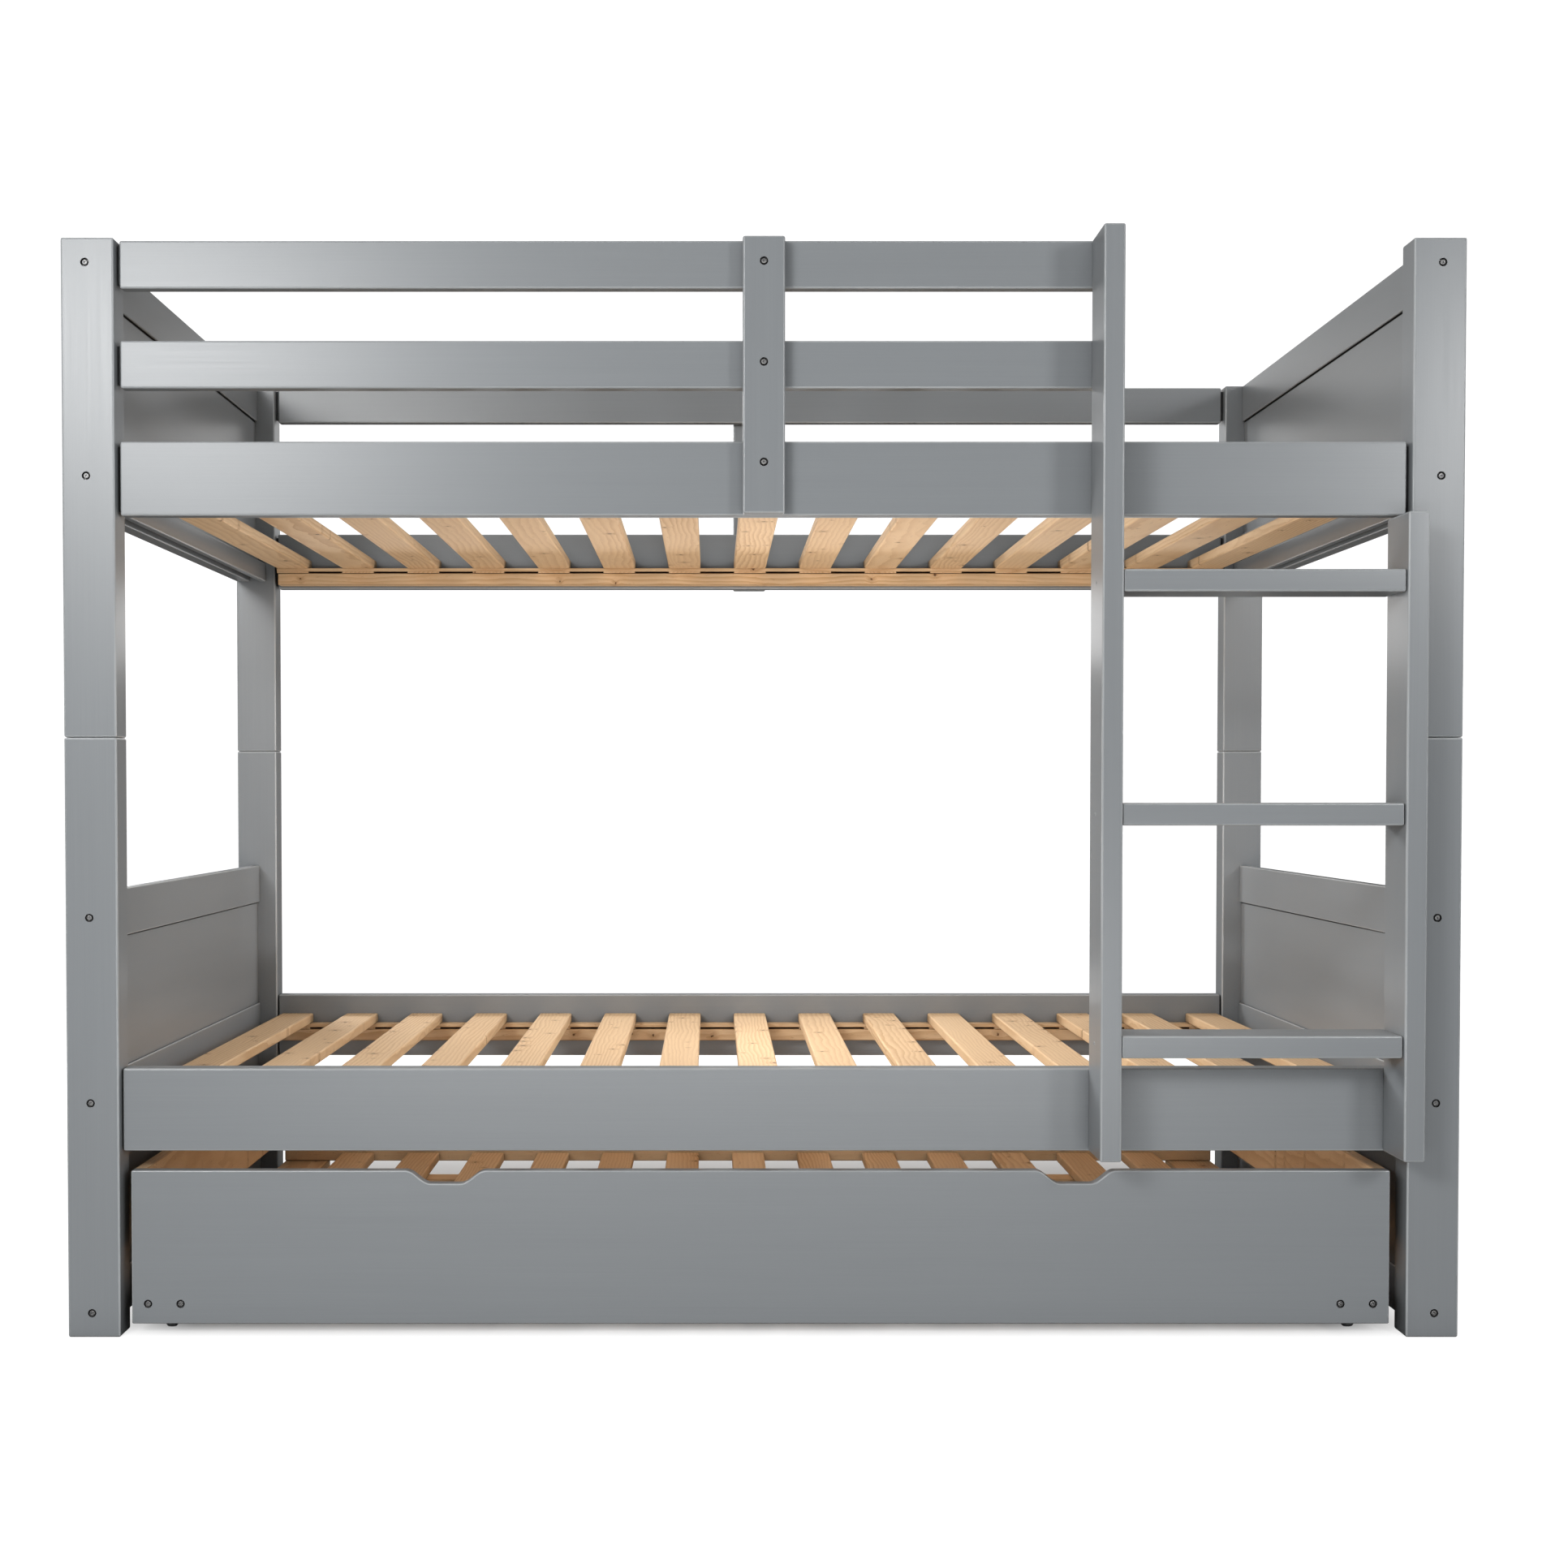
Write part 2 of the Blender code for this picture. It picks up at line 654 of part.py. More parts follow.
def make_runner_beam(side_name, side):
    """A beam along Y with a slot for a wheel at each end and a fixed axle across each slot."""
    centre_x = trundle_shift + side * beam_centre_offset
    low = (centre_x - beam_width / 2, board_front_y + trundle_panel_thickness + fit_gap, beam_bottom)
    high = (centre_x + beam_width / 2, trundle_back_y, beam_top)
    name = "trundle_runner_beam_" + side_name
    beam = board(name, low, high, pine, wood_edge)
    slot_half = wheel_width / 2 + wheel_side_room
    slot_top = wheel_diameter + wheel_slot_room
    slot_reach = wheel_radius + wheel_slot_room
    (front_name, front_wheel_y), (back_name, back_wheel_y) = wheel_rows()
    slots = [((centre_x - slot_half, low[1] - cut_overrun, beam_bottom - cut_overrun),
              (centre_x + slot_half, front_wheel_y + slot_reach, slot_top)),
             ((centre_x - slot_half, back_wheel_y - slot_reach, beam_bottom - cut_overrun),
              (centre_x + slot_half, high[1] + cut_overrun, slot_top))]
    cut_boxes(beam, slots, "_slots")
    axles = bmesh.new()
    for row, y in wheel_rows():
        add_cylinder(axles, (centre_x, y, wheel_radius), beam.location, 0, axle_diameter,
                     2 * (slot_half + axle_seat), axle_sides)
    combine(beam, helper_shape(name + "_axles", axles, beam.location), "UNION")


def make_wheel(label, x, y):
    """A solid wheel with a plain bore, on its own axle line along X."""
    mesh_data = bmesh.new()
    half = wheel_width / 2
    outer = wheel_radius
    bore = axle_diameter / 2 + running_gap
    section = ((bore, -half), (outer - wheel_edge, -half), (outer, wheel_edge - half),
               (outer, half - wheel_edge), (outer - wheel_edge, half), (bore, half))
    rings = []
    for index in range(wheel_sides):
        angle = 2 * math.pi * index / wheel_sides
        rings.append([mesh_data.verts.new((along, radius * math.sin(angle), -radius * math.cos(angle)))
                      for radius, along in section])
    for index, ring in enumerate(rings):
        following = rings[(index + 1) % wheel_sides]
        for corner in range(len(section)):
            other = (corner + 1) % len(section)
            mesh_data.faces.new((ring[corner], ring[other], following[other], following[corner]))
    name = "trundle_wheel_" + label
    wheel = finish_piece(name, mesh_data, (x, y, wheel_radius), grey_plastic(name))
    wheel.data.shade_smooth()
    wheel.data.set_sharp_from_angle(angle=math.radians(40))


def make_trundle_slats():
    """Slats like those of the bunks, on two bearers between the runner beams."""
    slat_top = beam_top + slat_thickness
    reach = beam_centre_offset - beam_width / 2 - fit_gap
    inner_front = board_front_y + trundle_panel_thickness
    inner_back = trundle_back_y - trundle_panel_thickness
    rows = ((inner_front + bearer_inset, inner_front + bearer_inset + bearer_width),
            (inner_back - bearer_inset - bearer_width, inner_back - bearer_inset))
    origin = (trundle_shift, (inner_front + inner_back) / 2, beam_top)
    bearers = bmesh.new()
    for low_y, high_y in rows:
        add_box(bearers, (trundle_shift - reach, low_y, beam_top - bearer_thickness),
                (trundle_shift + reach, high_y, beam_top + sunk_depth), origin)
    base = finish_piece("trundle_slat_base", bearers, origin, pine("trundle_slat_base"))
    slats = bmesh.new()
    for x in slat_places(trundle_slat_count, trundle_shift):
        add_box(slats, (x - slat_width / 2, inner_front + trundle_slat_end_room, beam_top),
                (x + slat_width / 2, inner_back - trundle_slat_end_room, slat_top), origin,
                slat_edge)
    combine(base, helper_shape("trundle_slat_base_slats", slats, origin), "UNION")


def make_trundle():
    make_trundle_front()
    make_trundle_box()
    make_trundle_slats()
    for side_name, side in SIDES:
        make_runner_beam(side_name, side)
        for row, y in wheel_rows():
            make_wheel(row + "_" + side_name, trundle_shift + side * beam_centre_offset, y)


def main():
    clear_scene()
    make_posts()
    make_long_boards()
    make_braces()
    make_ends()
    make_slat_base("upper_slat_base", upper_slat_top, upper_rail_thickness)
    make_slat_base("lower_slat_base", lower_slat_top, lower_rail_thickness)
    make_ledges("upper", upper_slat_top, upper_rail_thickness)
    make_ledges("lower", lower_slat_top, lower_rail_thickness)
    make_ladder()
    make_trundle()


main()
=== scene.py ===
import json
import math
import random

import bmesh
import bpy
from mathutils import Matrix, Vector

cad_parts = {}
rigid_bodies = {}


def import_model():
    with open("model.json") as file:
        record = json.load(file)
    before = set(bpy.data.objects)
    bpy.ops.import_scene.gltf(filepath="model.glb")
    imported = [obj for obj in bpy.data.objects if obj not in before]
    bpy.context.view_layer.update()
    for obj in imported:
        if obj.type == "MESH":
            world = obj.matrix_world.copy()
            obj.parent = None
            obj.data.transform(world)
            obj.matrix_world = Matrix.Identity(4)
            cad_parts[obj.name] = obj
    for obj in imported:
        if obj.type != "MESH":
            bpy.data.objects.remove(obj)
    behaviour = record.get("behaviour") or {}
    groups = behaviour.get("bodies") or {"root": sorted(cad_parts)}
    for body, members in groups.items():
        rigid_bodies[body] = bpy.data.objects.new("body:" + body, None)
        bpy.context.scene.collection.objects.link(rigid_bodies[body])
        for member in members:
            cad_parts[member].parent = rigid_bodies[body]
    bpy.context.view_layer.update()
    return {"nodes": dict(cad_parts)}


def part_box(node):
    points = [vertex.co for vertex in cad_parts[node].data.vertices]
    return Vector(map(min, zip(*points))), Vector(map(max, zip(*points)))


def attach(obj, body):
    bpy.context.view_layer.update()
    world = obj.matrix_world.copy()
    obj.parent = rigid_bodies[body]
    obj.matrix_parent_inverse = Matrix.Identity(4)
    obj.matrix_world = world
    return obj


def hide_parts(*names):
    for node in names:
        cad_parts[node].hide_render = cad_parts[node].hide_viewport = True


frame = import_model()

# Roundings of the edges, and how many faces make one rounding
post_rounding = 0.003
board_rounding = 0.003
end_rounding = 0.002
panel_rounding = 0.0005
pine_rounding = 0.002
trundle_rounding = 0.0022
rounding_steps = 3

# Short tenons at the ends of the long boards, seen as dark gaps beside the posts
tenon_inset = 0.0065
tenon_sunk = 0.002
guard_tenon = 0.0042
upper_rail_tenon = 0.0032
lower_rail_tenon = 0.0012

# Grooves that hold the end panels
groove_width = 0.0125
groove_depth = 0.008
cutter_overrun = 0.010

# Shadow lines in the end panels, under their top rails: shallow grooves, whose insides are painted
# near-black as painted shade
seam_height = 0.0024
seam_depth = 0.0022
seam_mark_reach = 0.0035
seam_mark_slack = 1.01

# Channel-shaped rail at the foot of an upper end, from its inner face and from its bottom
channel_lip_width = 0.0125
channel_groove_height = 0.020
channel_groove_end = 0.032
channel_step_width = 0.0155
channel_step_height = 0.035

# Bolts: pocket, chamfered mouth and socket head
pocket_radius = 0.00575
mouth_radius = 0.0062
mouth_depth = 0.0005
pocket_depth = 0.006
pocket_sides = 40
head_diameter = 0.0079
head_height_share = 0.72
head_sides = 24
rung_screw_diameter = 0.0068
rung_screw_sunk = 0.0044
head_turn = 1.047

# How far the bolts stand from the middle of the piece that they hold
end_bolt_inward = 0.001
channel_bolt_drop = 0.0045
lower_rail_bolt_step = 0.030
upper_rail_bolt_step = 0.025
guard_bolt_drop = 0.018
brace_bolt_drop = 0.0015
brace_foot_bolt_rise = 0.0195
beam_bolt_rise = 0.0045
beam_bolt_step = 0.0235

# Slats, with the strips and bearers that carry them
slat_pitch = 0.1266
slat_width = 0.062
slat_thickness = 0.018
slat_rounding = 0.003
usual_slat_length = 0.89
slat_count = 15
trundle_slat_count = 13
slat_seeds = {"upper": 11, "lower": 23, "trundle": 41}
foot_seed_step = 7
carrier_bar_height = 0.006
carrier_foot_height = 0.003
carrier_foot_width = 0.061
carrier_foot_inset = 0.001
carrier_foot_overlap = 0.001
carrier_foot_rounding = 0.0004
carrier_gap = 0.0007
carrier_rounding = 0.0008
bar_overlap = 0.0005
bearer_width = 0.045
bearer_inset = 0.120

# Trundle: hand cut-outs, wheel slots and axles
grip_width = 0.116
grip_floor_width = 0.043
grip_depth = 0.019
grip_steps = 16
grip_spread = 0.455
sharp_rim = math.radians(60)
wheel_slot_half_width = 0.008
wheel_slot_top = 0.053
wheel_slot_room = 0.003
axle_radius = 0.003
axle_chamfer = 0.0004
axle_half_length = 0.012
axle_sides = 24

# Wheel section: (from the axis, below the side face), then (below the tread, below the side face)
wheel_side = ((0.0033, 0.0), (0.0085, 0.0), (0.0095, 0.0015), (0.0195, 0.0020), (0.0205, 0.0004))
wheel_shoulder = ((0.0022, 0.0002), (0.0004, 0.0016))
wheel_crown_share = 0.3
wheel_sides = 64

# Colours, as shares of red, green and blue
paint_dark = (0.218, 0.233, 0.246)
paint_light = (0.312, 0.331, 0.346)
# Paint of the rounded edges: worn thin, and lightened as a painted highlight
worn_paint_and_highlight = (0.56, 0.58, 0.59)
paint_shade = (0.030, 0.030, 0.028)
# Near-black painted shade inside the bolt pockets and the shadow lines
hole_shade_colour = (0.022, 0.021, 0.020)
pine_early = (0.910, 0.660, 0.405)
pine_late = (0.700, 0.445, 0.230)
pine_fibre = (0.640, 0.390, 0.190)
pine_fleck = (0.420, 0.220, 0.090)
pine_warm = (0.700, 0.450, 0.240)
# Painted shade along the rounded edges of the pine
pine_edge_shade = (0.400, 0.190, 0.065)
pine_shade = (0.060, 0.035, 0.018)
knot_halo = (0.400, 0.190, 0.070)
knot_heart = (0.130, 0.052, 0.020)
steel_dark = (0.21, 0.21, 0.22)
steel_light = (0.33, 0.33, 0.32)
plastic_dark = (0.095, 0.097, 0.100)
plastic_scuffed = (0.190, 0.190, 0.188)

# Marks on the meshes: how far the grain moves from board to board, and what counts as flat
grain_shift = (2.0, 2.0, 0.09)
flat_face = 0.995
beside_axis = 0.02

# Knots, growth rings, and the painted shade in crevices
knot_cells = 18.0
knot_share = 0.36
knot_sizes = (0.028, 0.080)
ring_scale = 46.0
crevice_reach = 0.12
crevice_rays = 8

# Floor of the studio: its corners, and the share of its glow that is left under the bed, where the
# cut glow is a painted shadow
floor_corners = ((-30, -12), (30, -12), (30, 30), (-30, 30))
glow_left_in_painted_shadow = 0.16

# Soft lights: name, place, what it faces, width, height, power
LIGHTS = (
    ("key_inner", (-1.5, -3.3, 2.2), (-0.8, -0.45, 1.3), 0.7, 0.7, 18.5),
    ("key_outer", (-2.1, -3.3, 2.2), (-0.8, -0.45, 1.3), 0.7, 0.7, 27.5),
    ("key_low", (-1.5, -3.3, 1.6), (-0.8, -0.45, 1.3), 0.7, 0.7, 9.5),
    ("key_right", (2.4, -3.2, 1.9), (0.9, -0.45, 1.2), 0.6, 0.6, 27.0),
    ("low_front", (0.0, -3.6, 0.12), (0.0, -0.4, 0.6), 3.0, 0.16, 25.0),
    ("back_right", (3.0, 1.8, 1.2), (0.0, 0.0, 0.8), 1.0, 2.0, 33.0),
    ("rim_left", (-2.4, 2.4, 1.9), (0.0, 0.0, 0.6), 1.0, 0.8, 56.0),
    ("rim_middle", (0.0, 3.0, 1.9), (0.0, 0.0, 0.5), 3.0, 0.8, 7.5),
    ("between_bunks", (0.0, 0.03, 0.46), (0.0, 0.031, 2.0), 1.6, 0.6, 1.5),
    ("under_top_bunk", (0.0, 0.38, 1.10), (0.0, -0.2, 0.40), 1.75, 0.2, 2.0),
    ("to_right_end", (-0.1, 0.0, 0.75), (1.0, 0.0, 0.75), 0.5, 0.4, 2.8),
    ("to_left_end", (0.1, 0.0, 0.75), (-1.0, 0.0, 0.75), 0.5, 0.4, 1.9),
)

# Which way each side lies along X, and which way each row faces along Y
SIDES = {"left": -1, "right": 1}
ROWS = {"front": -1, "back": 1}

# Pieces that wait for the last step, and the shadow lines by panel: (middle of it, height)
waiting = []
shadow_lines = {}


# Small helpers for places and meshes

def middle_of(node):
    """The middle of a node's box."""
    low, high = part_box(node)
    return [(a + b) / 2 for a, b in zip(low, high)]


def add_block(shape, low, high):
    """Adds a plain closed block to a mesh."""
    for vert in bmesh.ops.create_cube(shape, size=1.0)["verts"]:
        for axis in range(3):
            vert.co[axis] = low[axis] if vert.co[axis] < 0.0 else high[axis]


def round_edges(shape, edges, rounding):
    """Rounds the given edges of a mesh."""
    bmesh.ops.bevel(shape, geom=list(edges), offset=rounding, segments=rounding_steps,
                    profile=0.5, affect="EDGES")


def rounded_board(low, high, rounding):
    """A board between two corners with rounded edges, in its own place."""
    shape = bmesh.new()
    add_block(shape, low, high)
    round_edges(shape, shape.edges, rounding)
    return shape


def prism(outline, low_y, high_y):
    """A form along Y over an outline of (x, z) places."""
    shape = bmesh.new()
    face = shape.faces.new([shape.verts.new((x, low_y, z)) for x, z in outline])
    grown = bmesh.ops.extrude_face_region(shape, geom=[face])["geom"]
    tips = [item for item in grown if isinstance(item, bmesh.types.BMVert)]
    bmesh.ops.translate(shape, verts=tips, vec=(0.0, high_y - low_y, 0.0))
    bmesh.ops.recalc_face_normals(shape, faces=shape.faces)
    return shape


def add_rounded(shape, low, high, rounding):
    """Adds a second rounded board to a mesh."""
    other = rounded_board(low, high, rounding)
    spare = bpy.data.meshes.new("spare")
    other.to_mesh(spare)
    other.free()
    shape.from_mesh(spare)
    bpy.data.meshes.remove(spare)


def add_turned(shape, rings, sides, centre, axis, closed=False):
    """Adds a turned form. rings holds (radius, place along the axis, number of flats or 0)."""
    along_axis = Vector(axis).normalized()
    first = along_axis.orthogonal().normalized()
    second = along_axis.cross(first)
    loops = []
    for radius, along, flats in rings:
        loop = []
        for index in range(sides):
            angle = 2 * math.pi * index / sides
            reach = radius
            if flats:
                step = 2 * math.pi / flats
                reach = radius / math.cos((angle % step) - step / 2)
            place = Vector(centre) + along_axis * along
            place += first * (reach * math.cos(angle)) + second * (reach * math.sin(angle))
            loop.append(shape.verts.new(place))
        loops.append(loop)
    pairs = list(zip(loops, loops[1:]))
    if closed:
        pairs.append((loops[-1], loops[0]))
    for loop, following in pairs:
        for index in range(sides):
            other = (index + 1) % sides
            shape.faces.new((loop[index], loop[other], following[other], following[index]))
    if not closed:
        shape.faces.new(list(reversed(loops[0])))
        shape.faces.new(loops[-1])


def piece_from(name, shape, finish):
    """Turns a mesh under construction into an object that stands at the origin."""
    bmesh.ops.recalc_face_normals(shape, faces=shape.faces)
    mesh = bpy.data.meshes.new(name)
    shape.to_mesh(mesh)
    shape.free()
    mesh.shade_smooth()
    if finish:
        mesh.materials.append(finish)
    piece = bpy.data.objects.new(name, mesh)
    bpy.context.scene.collection.objects.link(piece)
    return piece


def cutter_from(name, shape):
    """A helper object that cuts and isn't seen."""
    cutter = piece_from(name, shape, None)
    cutter.hide_render = True
    return cutter


def cut_away(piece, cutter):
    """Takes a cutter's form out of a piece, once the modifiers are applied."""
    step = piece.modifiers.new("cut", "BOOLEAN")
    step.operation = "DIFFERENCE"
    step.solver = "EXACT"
    step.object = cutter


def wait_for_finish(piece, body, slot, nodes, flat_axis=None):
    """Keeps a piece for the last step, where its modifiers are applied."""
    waiting.append((piece, body, slot, nodes, flat_axis))
    return piece


# Finishes

def add_node(tree, kind, inputs=None, **settings):
    """Adds one node. Inputs are linked where a socket is given, and set otherwise."""
    made = tree.nodes.new(kind)
    for name, value in settings.items():
        setattr(made, name, value)
    for name, value in (inputs or {}).items():
        socket = made.inputs[name]
        if isinstance(value, bpy.types.NodeSocket):
            tree.links.new(value, socket)
        else:
            socket.default_value = value
    return made


def math_node(tree, operation, first, second=0.0, third=0.0):
    """One sum, product or the like of numbers."""
    return add_node(tree, "ShaderNodeMath", {0: first, 1: second, 2: third},
                    operation=operation).outputs[0]


def vector_node(tree, operation, first, second):
    """One sum, product or the like of places."""
    return add_node(tree, "ShaderNodeVectorMath", {0: first, 1: second},
                    operation=operation).outputs[0]


def attribute(tree, name, output="Fac"):
    """A value that the mesh carries."""
    return add_node(tree, "ShaderNodeAttribute", attribute_name=name).outputs[output]


def grain_place(tree, grain_axis):
    """Object coordinates, shifted by board, as (along the grain, across it, through it)."""
    where = add_node(tree, "ShaderNodeTexCoord").outputs["Object"]
    moved = vector_node(tree, "ADD", where, attribute(tree, "shift", "Vector"))
    parts = add_node(tree, "ShaderNodeSeparateXYZ", {0: moved})
    order = {"x": ("X", "Z", "Y"), "y": ("Y", "X", "Z"), "z": ("Z", "X", "Y")}[grain_axis]
    joined = {name: parts.outputs[source] for name, source in zip("XYZ", order)}
    return add_node(tree, "ShaderNodeCombineXYZ", joined).outputs[0]


def stretched(tree, place, scale):
    """A place, scaled by its own amount along each axis."""
    return add_node(tree, "ShaderNodeMapping", {"Vector": place, "Scale": scale}).outputs[0]


def noise(tree, place, scale, detail=2.0, roughness=0.5, distortion=0.0):
    """A smooth random value between about 0 and 1."""
    values = {"Vector": place, "Scale": scale, "Detail": detail, "Roughness": roughness,
              "Distortion": distortion}
    return add_node(tree, "ShaderNodeTexNoise", values).outputs["Fac"]


def ramp(tree, value, low, high, low_out, high_out, smooth=False):
    """Maps one range of a value to another."""
    made = add_node(tree, "ShaderNodeMapRange", {"Value": value, "From Min": low, "From Max": high,
                                                 "To Min": low_out, "To Max": high_out})
    if smooth:
        made.interpolation_type = "SMOOTHSTEP"
    return made.outputs[0]


def opaque(colour):
    """A colour for a socket: a link as it is, or red, green and blue made solid."""
    return colour if isinstance(colour, bpy.types.NodeSocket) else (*colour, 1.0)


def mix_colour(tree, share, first, second):
    """The first colour, with a share of the second."""
    inputs = {0: share, 6: opaque(first), 7: opaque(second)}
    return add_node(tree, "ShaderNodeMix", inputs, data_type="RGBA").outputs[2]


def bump(tree, height, distance, strength, normal=None):
    """Fine relief, on top of other relief where there is some."""
    values = {"Height": height, "Distance": distance, "Strength": strength}
    if normal:
        values["Normal"] = normal
    return add_node(tree, "ShaderNodeBump", values).outputs[0]


def new_finish(name):
    """A new finish, with its nodes and its main shader."""
    finish = bpy.data.materials.new(name)
    finish.use_nodes = True
    return finish, finish.node_tree, finish.node_tree.nodes["Principled BSDF"]


def painted_crevice_shade(tree):
    """Painted shade: how closed in a narrow gap or a tight corner the place is, for darkening the
    colour there.
    """
    openness = add_node(tree, "ShaderNodeAmbientOcclusion", {"Distance": crevice_reach},
                        samples=crevice_rays).outputs["AO"]
    return ramp(tree, openness, 0.08, 0.58, 0.88, 0.0)


def grey_paint(grain_axis):
    """Satin grey paint, brushed along the board; its rounded edges lighter as worn thin paint and
    as a painted highlight, with painted shade in crevices, pockets and shadow lines.
    """
    finish, tree, shader = new_finish("grey_paint_along_" + grain_axis)
    place = grain_place(tree, grain_axis)
    streaks = noise(tree, stretched(tree, place, (4.0, 420.0, 420.0)), 1.0, 3.0, 0.6)
    bands = noise(tree, stretched(tree, place, (1.2, 30.0, 30.0)), 1.0, 2.0)
    clouds = noise(tree, place, 3.0, 2.0)
    peel = noise(tree, place, 700.0, 1.0)
    tone = attribute(tree, "tone")
    edge = attribute(tree, "edge")
    light = math_node(tree, "ADD", ramp(tree, streaks, 0.2, 0.8, -0.07, 0.07),
                      ramp(tree, bands, 0.25, 0.75, -0.045, 0.045))
    light = math_node(tree, "ADD", light, ramp(tree, clouds, 0.3, 0.7, -0.02, 0.02))
    light = math_node(tree, "MULTIPLY_ADD", tone, 0.02, light)
    share = math_node(tree, "ADD", light, 0.5)
    body = mix_colour(tree, share, paint_dark, paint_light)
    # Rounded edges lighter: partly worn thin paint, partly a painted highlight where the edges
    # catch the light
    wear_and_highlight = math_node(tree, "MULTIPLY", edge, ramp(tree, clouds, 0.35, 0.65, 0.45, 0.8))
    painted = mix_colour(tree, wear_and_highlight, body, worn_paint_and_highlight)
    # Painted shade: the paint goes dark in narrow gaps and tight corners, where shade falls
    shaded = mix_colour(tree, painted_crevice_shade(tree), painted, paint_shade)
    # Painted shade: near-black inside the bolt pockets and the shadow lines
    colour = mix_colour(tree, attribute(tree, "hole"), shaded, hole_shade_colour)
    tree.links.new(colour, shader.inputs["Base Color"])
    gloss = math_node(tree, "ADD", ramp(tree, streaks, 0.2, 0.8, 0.29, 0.35),
                      math_node(tree, "MULTIPLY", edge, -0.06))
    tree.links.new(gloss, shader.inputs["Roughness"])
    lines = bump(tree, streaks, 0.00008, 0.7)
    tree.links.new(bump(tree, peel, 0.00005, 0.5, lines), shader.inputs["Normal"])
    shader.inputs["IOR"].default_value = 1.56
    return finish


def pine(grain_axis):
    """Clear pine with growth rings, fine fibre and a few pin knots."""
    finish, tree, shader = new_finish("pine_along_" + grain_axis)
    place = grain_place(tree, grain_axis)
    waver = add_node(tree, "ShaderNodeTexNoise", {"Vector": place, "Scale": 140.0, "Detail": 2.0})
    waver = vector_node(tree, "SUBTRACT", waver.outputs["Color"], (0.5, 0.5, 0.5))
    waver = vector_node(tree, "MULTIPLY", waver, (0.008, 0.008, 0.008))
    ragged = vector_node(tree, "ADD", place, waver)
    cells = add_node(tree, "ShaderNodeTexVoronoi", {"Vector": ragged, "Scale": knot_cells},
                     voronoi_dimensions="2D")
    tint = add_node(tree, "ShaderNodeSeparateColor", {0: cells.outputs["Color"]})
    present = math_node(tree, "LESS_THAN", tint.outputs[0], knot_share)
    size = ramp(tree, tint.outputs[1], 0.0, 1.0, *knot_sizes)
    reach = math_node(tree, "DIVIDE", cells.outputs["Distance"], size)
    knot = math_node(tree, "MULTIPLY", present, ramp(tree, reach, 0.45, 1.0, 1.0, 0.0, True))
    swirl = math_node(tree, "MULTIPLY", present, ramp(tree, reach, 0.0, 5.0, 1.0, 0.0, True))
    bend = add_node(tree, "ShaderNodeCombineXYZ",
                    {"Y": math_node(tree, "MULTIPLY", swirl, 0.006)}).outputs[0]
    bent = vector_node(tree, "ADD", place, bend)
    wander = noise(tree, stretched(tree, bent, (2.2, 9.0, 9.0)), 1.0, 2.0)
    drift = add_node(tree, "ShaderNodeCombineXYZ",
                     {"Y": ramp(tree, wander, 0.0, 1.0, -0.022, 0.022)}).outputs[0]
    ring_place = vector_node(tree, "ADD", bent, drift)
    rings = add_node(tree, "ShaderNodeTexWave",
                     {"Vector": stretched(tree, ring_place, (0.35, 1.0, 1.0)),
                      "Scale": ring_scale, "Distortion": 4.5, "Detail": 3.0, "Detail Scale": 0.7},
                     wave_type="RINGS", rings_direction="X", wave_profile="SAW").outputs["Fac"]
    fibre = noise(tree, stretched(tree, bent, (14.0, 900.0, 900.0)), 1.0, 3.0, 0.65)
    flecks = noise(tree, stretched(tree, bent, (45.0, 260.0, 260.0)), 1.0, 3.0, 0.7, 0.6)
    clouds = noise(tree, stretched(tree, place, (1.5, 12.0, 12.0)), 1.0, 2.0)
    late = math_node(tree, "MULTIPLY", ramp(tree, rings, 0.25, 0.95, 0.0, 1.0, True),
                     ramp(tree, clouds, 0.3, 0.7, 0.25, 1.0))
    layers = ((ramp(tree, fibre, 0.3, 0.75, 0.0, 0.35), pine_fibre),
              (ramp(tree, flecks, 0.60, 0.74, 0.0, 0.45, True), pine_fleck),
              (math_node(tree, "MULTIPLY_ADD", attribute(tree, "tone"), 0.12, 0.13), pine_warm),
              # Painted shade: the rounded edges of the pine are darkened
              (math_node(tree, "MULTIPLY", attribute(tree, "edge"), 0.55), pine_edge_shade),
              (math_node(tree, "MULTIPLY", swirl, 0.40), knot_halo),
              (math_node(tree, "MULTIPLY", knot, 0.92), knot_heart),
              # Painted shade: the pine goes dark in narrow gaps and tight corners
              (painted_crevice_shade(tree), pine_shade))
    colour = mix_colour(tree, late, pine_early, pine_late)
    for share, over in layers:
        colour = mix_colour(tree, share, colour, over)
    tree.links.new(colour, shader.inputs["Base Color"])
    tree.links.new(ramp(tree, fibre, 0.2, 0.8, 0.62, 0.50), shader.inputs["Roughness"])
    relief = bump(tree, fibre, 0.00012, 0.5)
    relief = bump(tree, late, 0.00010, 0.4, relief)
    tree.links.new(bump(tree, knot, 0.0002, 0.5, relief), shader.inputs["Normal"])
    shader.inputs["Specular IOR Level"].default_value = 0.35
    return finish


def bright_steel():
    """Zinc-plated steel, faintly turned and rubbed."""
    finish, tree, shader = new_finish("bright_steel")
    where = add_node(tree, "ShaderNodeTexCoord").outputs["Object"]
    grains = noise(tree, where, 1800.0, 3.0)
    stains = noise(tree, where, 240.0, 2.0)
    colour = mix_colour(tree, ramp(tree, stains, 0.3, 0.7, 0.0, 1.0), steel_dark, steel_light)
    tree.links.new(colour, shader.inputs["Base Color"])
    tree.links.new(ramp(tree, grains, 0.2, 0.8, 0.42, 0.58), shader.inputs["Roughness"])
    tree.links.new(bump(tree, grains, 0.00004, 0.5), shader.inputs["Normal"])
    shader.inputs["Metallic"].default_value = 1.0
    return finish


